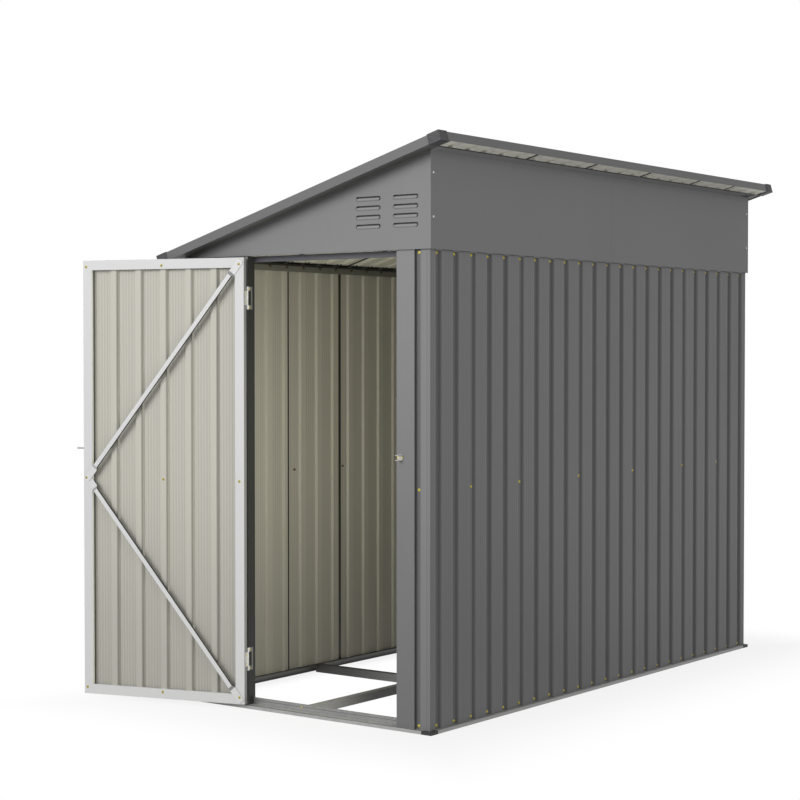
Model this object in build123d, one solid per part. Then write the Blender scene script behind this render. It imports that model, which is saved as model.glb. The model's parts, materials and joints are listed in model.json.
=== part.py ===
from build123d import *
import math
import os

# Driving dimensions in millimetres.
# The wall planes are the outer faces of the flat pans of the cladding.
wall_length = 2296.0
wall_width = 1080.0
wall_top = 1593.0
roof_rise = 318.0
roof_side_overhang = 80.0
roof_end_overhang = 69.0

sheet_gauge = 0.6
groove_pitch = 100.0
groove_mouth = 35.0
groove_floor = 25.0
groove_depth = 9.0
groove_margin = 48.0
front_groove_margin = 56.0

rail_gauge = 1.2
rail_height = 32.0
rail_flange = 15.0
ledge_height = 11.5
ledge_out = 12.0
foot_size = 40.0
foot_proud = 1.0

joist_width = 26.0
cross_joist_setback = 735.0

jamb_width = 73.0
jamb_depth = 36.0
jamb_return = 30.0
strip_width = 64.0
doorway_width = 651.0
sill_setback = 26.0

top_rail_height = 27.0
top_rail_flange = 20.0
header_height = 19.0
header_depth = 30.0

upper_proud = 8.0
gable_return = 30.0
fascia_return = 14.0
louvre_width = 104.0
louvre_height = 15.5
louvre_pitch = 30.8
louvre_press = 6.0
louvre_slit = 5.0
louvre_rows = 4
louvre_columns = 2
louvre_column_gap = 51.0
louvre_edge_gap = 42.0
louvre_top_drop = 136.6

trim_gauge = 1.0
trim_height = 31.0
trim_flange = 22.0
cap_wall = 2.0
cap_length = 46.0

door_thickness = 20.0
door_sill_gap = 5.3
door_head_gap = 6.0
door_side_gap = 5.0
hinge_side_gap = 4.0
door_gauge = 1.2
stile_width = 35.0
door_groove_count = 5
door_open_angle = 164.3

brace_width = 17.5
brace_depth = 9.5
brace_corner = 2.0
brace_wall = 0.8
brace_tab_length = 56.0
brace_tab_corner = 5.0
brace_past = 11.0
brace_neck = 10.0

hinge_length = 80.0
hinge_leaf_gauge = 1.6
hinge_leaf_width = 22.0
hinge_arm = 15.0
hinge_back = 6.5
hinge_nest_gap = 1.2
hinge_barrel_radius = 3.25
hinge_pin_radius = 1.4
hinge_pin_clearance = 0.4
hinge_barrel_out = 5.0
hinge_low_setback = 157.2
hinge_high_setback = 141.0

latch_height = 907.0
hasp_lap = 60.0
hasp_length = 30.0
hasp_height = 20.0
hasp_standoff = 6.0
tongue_height = 6.5
tongue_gauge = 2.0
tongue_past = 16.0
staple_inset = 16.0
staple_length = 22.0
staple_width = 12.0
staple_gauge = 2.0
ear_clearance = 4.0
staple_boss_radius = 11.0
staple_boss_height = 3.0
staple_hole_radius = 3.5

# Worked out from the driving dimensions.
half_width = wall_width / 2
half_length = wall_length / 2
high_top = wall_top + roof_rise
door_bottom = ledge_height + door_sill_gap
door_top = wall_top - door_head_gap
clad_depth = groove_depth + sheet_gauge
roof_slope = math.degrees(math.atan2(roof_rise, wall_width))
slope_cos = math.cos(math.radians(roof_slope))
slope_sin = math.sin(math.radians(roof_slope))
right_edge = half_width - strip_width - jamb_width
left_edge = right_edge - doorway_width
leaf_hinge_x = left_edge + hinge_side_gap
leaf_free_x = right_edge - door_side_gap
leaf_width = leaf_free_x - leaf_hinge_x
axis_x = left_edge + hinge_side_gap / 2
axis_y = -half_length - hinge_barrel_out
side_groove_count = round((wall_length - 2 * groove_margin) / groove_pitch) + 1
back_groove_count = round((wall_width - 2 * groove_margin) / groove_pitch) + 1
corner_groove_count = 2
right_seam_shares = (0, 1 / 6, 7 / 18, 11 / 18, 5 / 6, 1)
left_seam_shares = (0, 1 / 6, 1 / 3, 5 / 9, 7 / 9, 1)
roof_seam_shares = (1 / 6, 7 / 18, 11 / 18, 5 / 6)


# Groove centres along each wall, measured along world X or Y.
def spread(count, span):
    first = -span / 2 + groove_margin
    step = (span - 2 * groove_margin) / (count - 1)
    return [first + i * step for i in range(count)]


side_grooves = spread(side_groove_count, wall_length)
back_grooves = spread(back_groove_count, wall_width)
front_left_grooves = [-half_width + groove_margin, -half_width + groove_margin + groove_pitch]
front_right_groove = half_width - front_groove_margin


# Groove centre at a share of the run between the corner panels, so that every seam lies in a groove.
def seam_place(share):
    steps = side_groove_count - 1 - 2 * corner_groove_count
    return side_grooves[corner_groove_count + round(share * steps)]


# Fold line of a corrugated run from a to b; depth is measured inward from the wall plane.
# An end that lies on a groove floor starts at full depth.
def corrugation(a, b, centres):
    points = []

    def depth_at(u):
        inside = [c for c in centres if abs(u - c) <= groove_floor / 2]
        return groove_depth if inside else 0

    points.append((a, depth_at(a)))
    for c in sorted(centres):
        for du, depth in ((-groove_mouth / 2, 0), (-groove_floor / 2, groove_depth),
                          (groove_floor / 2, groove_depth), (groove_mouth / 2, 0)):
            if a < c + du < b:
                points.append((c + du, depth))
    points.append((b, depth_at(b)))
    return points


# Closed outline of a folded strip: the fold line and the same line moved to its left by the gauge.
def strip_outline(points, gauge):
    moved = []
    last = len(points) - 1
    for i, (x, y) in enumerate(points):
        normals = []
        for j, k in ((i - 1, i), (i, i + 1)):
            if j < 0 or k > last:
                continue
            dx = points[k][0] - points[j][0]
            dy = points[k][1] - points[j][1]
            size = math.hypot(dx, dy)
            normals.append((-dy / size, dx / size))
        nx = sum(n[0] for n in normals)
        ny = sum(n[1] for n in normals)
        reach = gauge / ((nx * nx + ny * ny) / len(normals))
        moved.append((x + nx * reach, y + ny * reach))
    return points + moved[::-1]


def outline_face(points):
    return make_face(Polyline(*points, close=True))


# Folded strip standing upright: the fold line lies in plan.
def upright(points, gauge, z0, z1):
    face = outline_face(strip_outline(points, gauge))
    return Pos(0, 0, z0) * extrude(face, amount=z1 - z0)


# Folded strip lying along X: the fold line is given in (y, z).
def along_x(points, gauge, x0, x1):
    plane = Plane(origin=(x0, 0, 0), x_dir=(0, 1, 0), z_dir=(1, 0, 0))
    return extrude(plane * outline_face(strip_outline(points, gauge)), amount=x1 - x0)


# Folded strip lying along Y: the fold line is given in (x, z).
def along_y(points, gauge, y0, y1):
    plane = Plane(origin=(0, y1, 0), x_dir=(1, 0, 0), z_dir=(0, -1, 0))
    return extrude(plane * outline_face(strip_outline(points, gauge)), amount=y1 - y0)


def block(x0, x1, y0, y1, z0, z1):
    size = Box(x1 - x0, y1 - y0, z1 - z0)
    return Pos((x0 + x1) / 2, (y0 + y1) / 2, (z0 + z1) / 2) * size


# Wall runs in plan, anticlockwise round the shed so that the inside is on the left.
def front_run(a, b):
    centres = front_left_grooves + [front_right_groove]
    return [(u, -half_length + d) for u, d in corrugation(a, b, centres)]


def right_run(a, b):
    return [(half_width - d, u) for u, d in corrugation(a, b, side_grooves)]


def back_run(a, b):
    return [(u, half_length - d) for u, d in corrugation(a, b, back_grooves)][::-1]


def left_run(a, b):
    return [(-half_width + d, u) for u, d in corrugation(a, b, side_grooves)][::-1]


def joined(first, second):
    return first + second[1:]


def cladding(points):
    return upright(points, sheet_gauge, ledge_height, wall_top)


nodes = {}

# Base frame: a stepped rail on each side and black corner feet between the rails.
rail_end_x = half_width + ledge_out + foot_proud - foot_size
rail_end_y = half_length + ledge_out + foot_proud - foot_size


# Fold line of the base rail in (distance outward from the wall plane, height).
def base_section(setback):
    return [(ledge_out, 0), (ledge_out, ledge_height), (-setback, ledge_height),
            (-setback, rail_height), (-setback - rail_flange, rail_height)]


front_section = [(-half_length - d, z) for d, z in base_section(sill_setback)]
back_section = [(half_length + d, z) for d, z in base_section(clad_depth)]
right_section = [(half_width + d, z) for d, z in base_section(clad_depth)]
left_section = [(-half_width - d, z) for d, z in base_section(clad_depth)]
nodes["base_front_rail"] = along_x(front_section, -rail_gauge, -rail_end_x, rail_end_x)
nodes["base_back_rail"] = along_x(back_section, rail_gauge, -rail_end_x, rail_end_x)
nodes["base_right_rail"] = along_y(right_section, rail_gauge, -rail_end_y, rail_end_y)
nodes["base_left_rail"] = along_y(left_section, -rail_gauge, -rail_end_y, rail_end_y)

foot_outer_x = half_width + ledge_out + foot_proud
foot_outer_y = half_length + ledge_out + foot_proud
foot = block(foot_outer_x - foot_size, foot_outer_x, foot_outer_y - foot_size, foot_outer_y, 0, ledge_height)
feet = [foot, mirror(foot, Plane.YZ), mirror(foot, Plane.XZ), mirror(mirror(foot, Plane.YZ), Plane.XZ)]
nodes["base_corner_feet"] = Compound(children=feet)

# Floor joists: channels under the rail flanges, halved where they cross.
joist_top = rail_height - rail_gauge
half_joist = joist_width / 2
joist_front = -half_length + sill_setback + rail_gauge
joist_back = half_length - clad_depth - rail_gauge
joist_side = half_width - clad_depth - rail_gauge
centre_fold = [(-half_joist, 0), (half_joist, 0), (half_joist, joist_top), (-half_joist, joist_top)]
centre_joist = along_y(centre_fold, rail_gauge, joist_front, joist_back)
cross_places = (-half_length + cross_joist_setback, half_length - cross_joist_setback)
cross_joists = []
for y in cross_places:
    fold = [(y + half_joist, joist_top), (y - half_joist, joist_top), (y - half_joist, 0), (y + half_joist, 0)]
    bar = along_x(fold, rail_gauge, -joist_side, joist_side)
    bar -= block(-half_joist, half_joist, y - half_joist, y + half_joist, 0, joist_top / 2)
    cross_joists.append(bar)
    centre_joist -= block(-half_joist, half_joist, y - half_joist, y + half_joist, joist_top / 2, joist_top)
nodes["floor_centre_joist"] = centre_joist
nodes["floor_cross_joists"] = Compound(children=cross_joists)

# Wall cladding: corner panels folded round the corners and flat panels between the seams.
first_seam = seam_place(0)
last_seam = seam_place(1)
back_first = back_grooves[corner_groove_count]
back_last = back_grooves[-1 - corner_groove_count]
left_jamb_outer = left_edge - jamb_width
right_jamb_outer = right_edge + jamb_width
nodes["corner_panel_front_right"] = cladding(
    joined(front_run(right_jamb_outer, half_width), right_run(-half_length, first_seam)))
nodes["corner_panel_back_right"] = cladding(
    joined(right_run(last_seam, half_length), back_run(back_last, half_width)))
nodes["corner_panel_back_left"] = cladding(
    joined(back_run(-half_width, back_first), left_run(last_seam, half_length)))
nodes["corner_panel_front_left"] = cladding(
    joined(left_run(-half_length, first_seam), front_run(-half_width, left_jamb_outer)))
# Panels between the seams go by turns into two nodes, so that the solids in a node do not touch.
for name, run, shares in (("right", right_run, right_seam_shares), ("left", left_run, left_seam_shares)):
    seams = [seam_place(share) for share in shares]
    panels = [cladding(run(a, b)) for a, b in zip(seams, seams[1:])]
    nodes[name + "_wall_outer_panels"] = Compound(children=panels[0::2])
    nodes[name + "_wall_inner_panels"] = Compound(children=panels[1::2])
nodes["back_wall_panel"] = cladding(back_run(back_first, back_last))


# Door jambs: channels that stand on the ledge and are notched over the sill.
def jamb(edge, away):
    front = -half_length
    fold = [(edge + away * jamb_width, front + clad_depth), (edge + away * jamb_width, front),
            (edge, front), (edge, front + jamb_depth), (edge + away * jamb_return, front + jamb_depth)]
    post = upright(fold, -away * rail_gauge, ledge_height, wall_top)
    x0, x1 = sorted((edge, edge + away * jamb_width))
    notch = block(x0, x1, front + sill_setback, front + jamb_depth, ledge_height, rail_height)
    return post - notch


nodes["right_jamb"] = jamb(right_edge, 1)
nodes["left_jamb"] = jamb(left_edge, -1)

# Header over the doorway and the rails along the tops of the other walls.
rail_side = half_width - clad_depth
header_y = -half_length + jamb_depth
header_z = wall_top - header_height
header_fold = [(header_y + header_depth, header_z), (header_y, header_z), (header_y, wall_top),
               (header_y + header_depth, wall_top)]
nodes["door_header"] = along_x(header_fold, -rail_gauge, -rail_side, rail_side)
top_z = wall_top - top_rail_height
back_rail_y = half_length - clad_depth
back_fold = [(back_rail_y, top_z), (back_rail_y, wall_top), (back_rail_y - top_rail_flange, wall_top)]
nodes["back_top_rail"] = along_x(back_fold, rail_gauge, -rail_side, rail_side)
side_y0 = header_y + header_depth
side_y1 = back_rail_y - top_rail_flange
right_fold = [(rail_side, top_z), (rail_side, wall_top), (rail_side - top_rail_flange, wall_top)]
left_fold = [(-x, z) for x, z in right_fold]
nodes["right_top_rail"] = along_y(right_fold, rail_gauge, side_y0, side_y1)
nodes["left_top_rail"] = along_y(left_fold, -rail_gauge, side_y0, side_y1)

# Upper panels: two gables under the roof pans and a fascia on the high side, proud of the walls.
upper_x = half_width + upper_proud
upper_y = half_length + upper_proud
hem_inner = clad_depth


# Height of a plane parallel to the roof, lifted by n from the undersides of the roof pans.
def roof_height(x, n):
    return high_top + (x - half_width) * slope_sin / slope_cos + n / slope_cos


# Everything above a plane parallel to the roof, as a solid to cut with.
def above_roof(n):
    reach = wall_width + wall_length
    return roof_place * block(-reach, reach, -reach, reach, n, n + reach)


# One louvre: a round-ended trough pressed inward, with its upper side cut away as the vent.
louvre_radius = ((louvre_height / 2) ** 2 + louvre_press ** 2) / (2 * louvre_press)


def capsule(radius, span):
    bar = Rot(0, 90, 0) * Cylinder(radius, span)
    for side in (-1, 1):
        bar += Pos(side * span / 2, 0, 0) * Sphere(radius)
    return bar


louvre_axis_y = -upper_y + louvre_press - louvre_radius
louvre_span = louvre_width - louvre_height
louvre_inner_y = -upper_y + louvre_press + sheet_gauge
louvre_lip = louvre_height / 2 - louvre_slit
louvre_reach = block(-louvre_width, louvre_width, -upper_y, louvre_inner_y, -louvre_height, louvre_lip)
louvre_core = Pos(0, louvre_axis_y, 0) * capsule(louvre_radius, louvre_span)
louvre_trough = louvre_reach & (Pos(0, louvre_axis_y, 0) * capsule(louvre_radius + sheet_gauge, louvre_span))
louvre_trough -= louvre_core

# Gable: a sheet with a return behind the fascia and a hem on the wall, cut to the slope, then the louvres.
roof_place = Pos(half_width, 0, high_top) * Rot(0, -roof_slope, 0)
gable_right = upper_x - sheet_gauge
gable_fold = [(-upper_x, -upper_y), (gable_right, -upper_y), (gable_right, -upper_y + gable_return)]
gable = upright(gable_fold, sheet_gauge, wall_top, high_top + roof_rise)
gable += block(-upper_x, gable_right, -upper_y, -half_length + hem_inner, wall_top, wall_top + sheet_gauge)
gable -= above_roof(0)
for column in range(louvre_columns):
    for row in range(louvre_rows):
        x = half_width - louvre_edge_gap - louvre_width / 2 - column * (louvre_width + louvre_column_gap)
        z = high_top - louvre_top_drop - louvre_height / 2 - row * louvre_pitch
        gable -= Pos(x, 0, z) * louvre_core
        gable += Pos(x, 0, z) * louvre_trough
nodes["front_gable"] = gable
nodes["back_gable"] = mirror(gable, Plane.XZ)

# Fascia: lies over the gables' edges with a narrow return at each end.
fascia_y = upper_y + sheet_gauge
fascia_fold = [(upper_x - fascia_return, -fascia_y), (upper_x, -fascia_y), (upper_x, fascia_y),
               (upper_x - fascia_return, fascia_y)]
fascia = upright(fascia_fold, sheet_gauge, wall_top, high_top + roof_rise)
hem_y = upper_y - gable_return
fascia_inner = upper_x - sheet_gauge
fascia += block(half_width - hem_inner, fascia_inner, -hem_y, hem_y, wall_top, wall_top + sheet_gauge)
nodes["high_fascia"] = fascia - above_roof(0)

# Roof, built flat with X up the slope and Z square to it, then tilted about the top of the high wall.
trim_y = half_length + roof_end_overhang
roof_high = roof_side_overhang / slope_cos + trim_height * slope_sin
roof_low = -(wall_width + roof_side_overhang) / slope_cos + trim_height * slope_sin
sheet_y = trim_y - trim_gauge
sheet_high = roof_high - trim_gauge
sheet_low = roof_low + trim_gauge


# The roof sheets lie with their pans on the walls and their ribs up.
def roof_sheet(y0, y1):
    fold = [(u, sheet_gauge + d) for u, d in corrugation(y0, y1, side_grooves)]
    return along_x(fold, -sheet_gauge, sheet_low, sheet_high)


roof_edges = [-sheet_y] + [seam_place(share) for share in roof_seam_shares] + [sheet_y]
roof_panels = [roof_place * roof_sheet(a, b) for a, b in zip(roof_edges, roof_edges[1:])]
nodes["roof_outer_panels"] = Compound(children=roof_panels[0::2])
nodes["roof_inner_panels"] = Compound(children=roof_panels[1::2])


# Fold line of the roof trim in (distance in from its outer face, height).
def trim_section():
    low = -trim_gauge
    return [(trim_flange, low), (0, low), (0, low + trim_height), (trim_flange, low + trim_height)]


front_trim = along_x([(-trim_y + d, z) for d, z in trim_section()], -trim_gauge, roof_low, roof_high)
side_span = trim_y - trim_flange
high_trim = along_y([(roof_high - d, z) for d, z in trim_section()], trim_gauge, -side_span, side_span)
low_trim = along_y([(roof_low + d, z) for d, z in trim_section()], -trim_gauge, -side_span, side_span)
nodes["roof_front_trim"] = roof_place * front_trim
nodes["roof_back_trim"] = roof_place * mirror(front_trim, Plane.XZ)
nodes["roof_high_trim"] = roof_place * high_trim
nodes["roof_low_trim"] = roof_place * low_trim

# Corner caps over the ends of the trims.
cap_low = -trim_gauge
cap_high = trim_height - trim_gauge


def cap(u_edge, inward):
    u_in = u_edge + inward * cap_length
    u_out = u_edge - inward * cap_wall
    outer_u = sorted((u_in, u_out))
    inner_u = sorted((u_in, u_edge))
    shell = block(outer_u[0], outer_u[1], trim_y - cap_length, trim_y + cap_wall,
                  cap_low - cap_wall, cap_high + cap_wall)
    return shell - block(inner_u[0], inner_u[1], trim_y - cap_length, trim_y, cap_low, cap_high)


caps = [cap(roof_high, -1), cap(roof_low, 1)]
caps += [mirror(c, Plane.XZ) for c in caps]
nodes["roof_corner_caps"] = Compound(children=[roof_place * c for c in caps])

# Door, built shut in the wall plane and then swung open about the hinge axis.
front = -half_length
inside_y = front + door_thickness
swing = Pos(axis_x, axis_y, 0) * Rot(0, 0, -door_open_angle) * Pos(-axis_x, -axis_y, 0)


def stile(edge, inward):
    inner = edge + inward * stile_width
    fold = [(edge, front), (edge, inside_y), (inner, inside_y), (inner, front + clad_depth)]
    return upright(fold, -inward * door_gauge, door_bottom, door_top)


def door_rail(edge, inward):
    inner = edge + inward * stile_width
    fold = [(front, edge), (inside_y, edge), (inside_y, inner), (front + clad_depth, inner)]
    return along_x(fold, inward * door_gauge, leaf_hinge_x + stile_width, leaf_free_x - stile_width)


door_middle = (leaf_hinge_x + leaf_free_x) / 2
door_grooves = [door_middle + (i - (door_groove_count - 1) / 2) * groove_pitch for i in range(door_groove_count)]
skin_run = corrugation(leaf_hinge_x + door_gauge, leaf_free_x - door_gauge, door_grooves)
skin_fold = [(u, front + d) for u, d in skin_run]
door_skin = upright(skin_fold, sheet_gauge, door_bottom + door_gauge, door_top - door_gauge)


# Box tube flattened at its ends, laid on the inside face of the door frame between two points in (x, z).
# The flat is half as wide as the way round the tube.
brace_tab_gauge = 2 * brace_wall
brace_tab_width = brace_width + brace_depth - (4 - math.pi) * brace_corner


def brace(start, end, lift):
    run = math.hypot(end[0] - start[0], end[1] - start[1])
    tube_run = run - 2 * (brace_tab_length - brace_past + brace_neck)
    tube_plane = Plane(origin=(-tube_run / 2, brace_depth / 2, 0), x_dir=(0, 0, 1), z_dir=(1, 0, 0))
    bar = extrude(tube_plane * RectangleRounded(brace_width, brace_depth, brace_corner), amount=tube_run)
    for side, rise in ((-1, 0), (1, lift)):
        tube_end = side * tube_run / 2
        tab_end = side * (tube_run / 2 + brace_neck)
        tab_y = brace_tab_gauge / 2 + rise
        full_plane = Plane(origin=(tube_end, brace_depth / 2, 0), x_dir=(0, 0, 1), z_dir=(side, 0, 0))
        flat_plane = Plane(origin=(tab_end, tab_y, 0), x_dir=(0, 0, 1), z_dir=(side, 0, 0))
        full = full_plane * RectangleRounded(brace_width, brace_depth, brace_corner)
        flat = flat_plane * RectangleRounded(brace_tab_width, brace_tab_gauge, brace_tab_gauge / 4)
        bar += loft([full, flat])
        tab = Box(brace_tab_length, brace_tab_gauge, brace_tab_width)
        ends = tab.edges().filter_by(Axis.Y).sort_by(Axis.X)
        tab = fillet(ends[2:] if side > 0 else ends[:2], brace_tab_corner)
        bar += Pos(tab_end + side * brace_tab_length / 2, tab_y, 0) * tab
    turn = math.degrees(math.atan2(end[1] - start[1], end[0] - start[0]))
    middle = ((start[0] + end[0]) / 2, inside_y, (start[1] + end[1]) / 2)
    return Pos(*middle) * Rot(0, -turn, 0) * bar


stile_middle = stile_width / 2
brace_hinge_x = leaf_hinge_x + stile_middle
brace_free_x = leaf_free_x - stile_middle
door_mid_height = (door_bottom + door_top) / 2
upper_brace = brace((brace_hinge_x, door_top - stile_middle), (brace_free_x, door_mid_height), brace_tab_gauge)
lower_brace = brace((brace_hinge_x, door_bottom + stile_middle), (brace_free_x, door_mid_height), 0)

# Flush hinges: a wide leaf with a cut-out on the jamb, with the pin, and a small leaf on the door that nests in it.
def hinge_part(height, side, half_span, leaf_width, knuckles):
    leaf_x = sorted((axis_x + side * hinge_side_gap / 2, axis_x + side * (hinge_side_gap / 2 - hinge_leaf_gauge)))
    leaf = block(leaf_x[0], leaf_x[1], front, front + leaf_width, height - half_span, height + half_span)
    for low, high in knuckles:
        leaf += block(leaf_x[0], leaf_x[1], axis_y, front, height + low, height + high)
        leaf += Pos(axis_x, axis_y, height + (low + high) / 2) * Cylinder(hinge_barrel_radius, high - low)
    return leaf


half_hinge = hinge_length / 2
nest = half_hinge - hinge_arm


def jamb_hinge(height):
    arms = ((-half_hinge, -nest), (nest, half_hinge))
    leaf = hinge_part(height, -1, half_hinge, hinge_leaf_width, arms)
    leaf -= block(left_edge, left_edge + hinge_leaf_gauge, front, front + hinge_leaf_width - hinge_back,
                  height - nest, height + nest)
    return leaf + Pos(axis_x, axis_y, height) * Cylinder(hinge_pin_radius, hinge_length)


def door_hinge(height):
    inner = nest - hinge_pin_clearance
    width = hinge_leaf_width - hinge_back - hinge_nest_gap
    leaf = hinge_part(height, 1, inner, width, ((-inner, inner),))
    return leaf - Pos(axis_x, axis_y, height) * Cylinder(hinge_pin_radius + hinge_pin_clearance, hinge_length)


hinge_heights = (door_bottom + hinge_low_setback, door_top - hinge_high_setback)
jamb_leaves = [jamb_hinge(h) for h in hinge_heights]
door_leaves = [door_hinge(h) for h in hinge_heights]
nodes["jamb_hinges"] = Compound(children=jamb_leaves)

# Latch: a hasp with a slim tongue on the outside of the door, which drops between two drilled ears on the right jamb.
lug_x = right_edge + staple_inset
tongue_z0 = latch_height - tongue_height / 2
tongue_z1 = latch_height + tongue_height / 2
hasp_inner = leaf_free_x - hasp_lap
tongue_end = lug_x + staple_width / 2 + tongue_past
hasp = block(hasp_inner, hasp_inner + hasp_length, front - hasp_standoff, front,
             latch_height - hasp_height / 2, latch_height + hasp_height / 2)
hasp += block(hasp_inner, tongue_end, front - hasp_standoff - tongue_gauge, front - hasp_standoff, tongue_z0, tongue_z1)
staple = Pos(lug_x, front - staple_boss_height / 2, latch_height) * Rot(90, 0, 0) * Cylinder(
    staple_boss_radius, staple_boss_height)
for side in (-1, 1):
    ear_z = latch_height + side * (tongue_height / 2 + ear_clearance + staple_gauge / 2)
    ear = Pos(0, 0, ear_z) * block(lug_x - staple_width / 2, lug_x + staple_width / 2, front - staple_length,
                                   front - staple_boss_height, -staple_gauge / 2, staple_gauge / 2)
    hole_y = front - staple_length + staple_width / 2
    staple += ear - Pos(lug_x, hole_y, ear_z) * Cylinder(staple_hole_radius, staple_gauge)
nodes["latch_staple"] = staple

door_pieces = {
    "door_skin": door_skin,
    "door_hinge_stile": stile(leaf_hinge_x, 1),
    "door_free_stile": stile(leaf_free_x, -1),
    "door_top_rail": door_rail(door_top, -1),
    "door_bottom_rail": door_rail(door_bottom, 1),
    "door_upper_brace": upper_brace,
    "door_lower_brace": lower_brace,
    "door_hinges": Compound(children=door_leaves),
    "door_hasp": hasp,
}
for name, piece in door_pieces.items():
    nodes[name] = swing * piece

os.makedirs("parts", exist_ok=True)
for name, piece in nodes.items():
    export_step(piece, "parts/" + name + ".step")
    box = piece.bounding_box()
    print(name, [round(v, 2) for v in (*box.min, *box.max)], "volume", round(piece.volume / 1000, 1))
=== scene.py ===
"""Looks of a lean-to metal storage shed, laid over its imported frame.

The file is laid out as an add-on: property groups hold the colours and sizes, one operator makes each
group of like pieces, and a panel in the sidebar lists them. Run as a script it dresses the shed and sets
the stage.
"""

import json
import math

import bpy
import numpy as np
from bpy.props import FloatProperty, FloatVectorProperty, PointerProperty
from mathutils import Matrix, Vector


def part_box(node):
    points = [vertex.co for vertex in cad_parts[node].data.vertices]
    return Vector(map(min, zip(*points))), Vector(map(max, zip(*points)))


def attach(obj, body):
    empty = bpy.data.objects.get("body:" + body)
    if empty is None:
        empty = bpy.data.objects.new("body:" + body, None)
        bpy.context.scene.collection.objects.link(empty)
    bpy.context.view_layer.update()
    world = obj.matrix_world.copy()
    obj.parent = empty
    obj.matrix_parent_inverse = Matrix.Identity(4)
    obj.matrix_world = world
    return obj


bl_info = {
    "name": "Metal storage shed looks",
    "version": (1, 0, 0),
    "blender": (4, 5, 0),
    "location": "3D View > Sidebar > Shed",
    "description": "Paint, zinc coat, screws and stage of a lean-to metal shed",
    "category": "Object",
}

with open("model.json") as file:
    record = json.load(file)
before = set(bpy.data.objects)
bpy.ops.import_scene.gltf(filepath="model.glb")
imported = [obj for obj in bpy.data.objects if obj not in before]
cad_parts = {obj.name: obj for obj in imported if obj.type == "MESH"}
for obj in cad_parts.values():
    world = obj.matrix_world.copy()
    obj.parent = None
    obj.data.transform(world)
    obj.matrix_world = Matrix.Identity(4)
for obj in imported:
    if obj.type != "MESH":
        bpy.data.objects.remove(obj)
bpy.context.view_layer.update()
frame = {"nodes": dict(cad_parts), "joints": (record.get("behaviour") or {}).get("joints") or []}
nodes = frame["nodes"]

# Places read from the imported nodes, in metres.
corner_low, corner_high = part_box("corner_panel_front_right")
wall_side = corner_high.x
wall_front = corner_low.y
wall_foot = corner_low.z
wall_head = corner_high.z
wall_middle = (wall_head + wall_foot) / 2
left_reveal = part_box("left_jamb")[1].x
fascia_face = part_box("high_fascia")[1].x
gable_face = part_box("high_fascia")[0].y
swing = frame["joints"][0]
hinge_place = np.array(swing["pos_m"])
open_turn = math.radians(swing["range_deg"][1])
# On the open door: from the hinge to the free edge, and out of the door's inner side.
leaf_along = np.array((math.cos(open_turn), -math.sin(open_turn), 0.0))
leaf_inward = np.array((math.sin(open_turn), math.cos(open_turn), 0.0))

gable_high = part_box("front_gable")[1]
gable_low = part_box("front_gable")[0]
roof_rise = (gable_high.z - wall_head) / (gable_high.x - gable_low.x)
roof_normal = np.array((-roof_rise, 0.0, 1.0)) / math.hypot(roof_rise, 1.0)

# Grooves that hold a seam, counted from the front corner, and on the back from the low wall.
high_seams = (2, 5, 9, 13, 17, 20)
low_seams = (2, 5, 8, 12, 16, 20)
# From each seam of the low wall to the edge of its lap inside.
low_lap_edges = (0.012, 0.012, 0.038, 0.038, 0.038, 0.038)
roof_seams = (5, 9, 13, 17)
back_seams = (2, 8)

# Louvres: from the gable's top to the first row's middle, pitch, rows, the columns' middles, half a
# louvre's length, and the depth from which the sheet counts as pressed in.
louvre_top = 0.1437
louvre_pitch = 0.0308
louvre_rows = 4
louvre_columns = (gable_high.x - 0.102, gable_high.x - 0.257)
louvre_half = 0.047
louvre_press = 0.0012

# Fittings, in metres: thickness of a hinge's leaf, the hinges' middles, depths from the hinge's axis to
# the outer face of the door skin's pans and to the inner face of the door's frame, and the thickness of a
# brace's flattened end.
hinge_leaf = 0.0016
hinge_middles = (0.174, 1.446)
skin_face = 0.005
frame_depth = 0.025
brace_tab = 0.0016

# Height of the fine grain in paint, in metres.
skin_grain = 0.00003
# Draws the angle by which each screw is spun.
random = np.random.default_rng(7)


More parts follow.
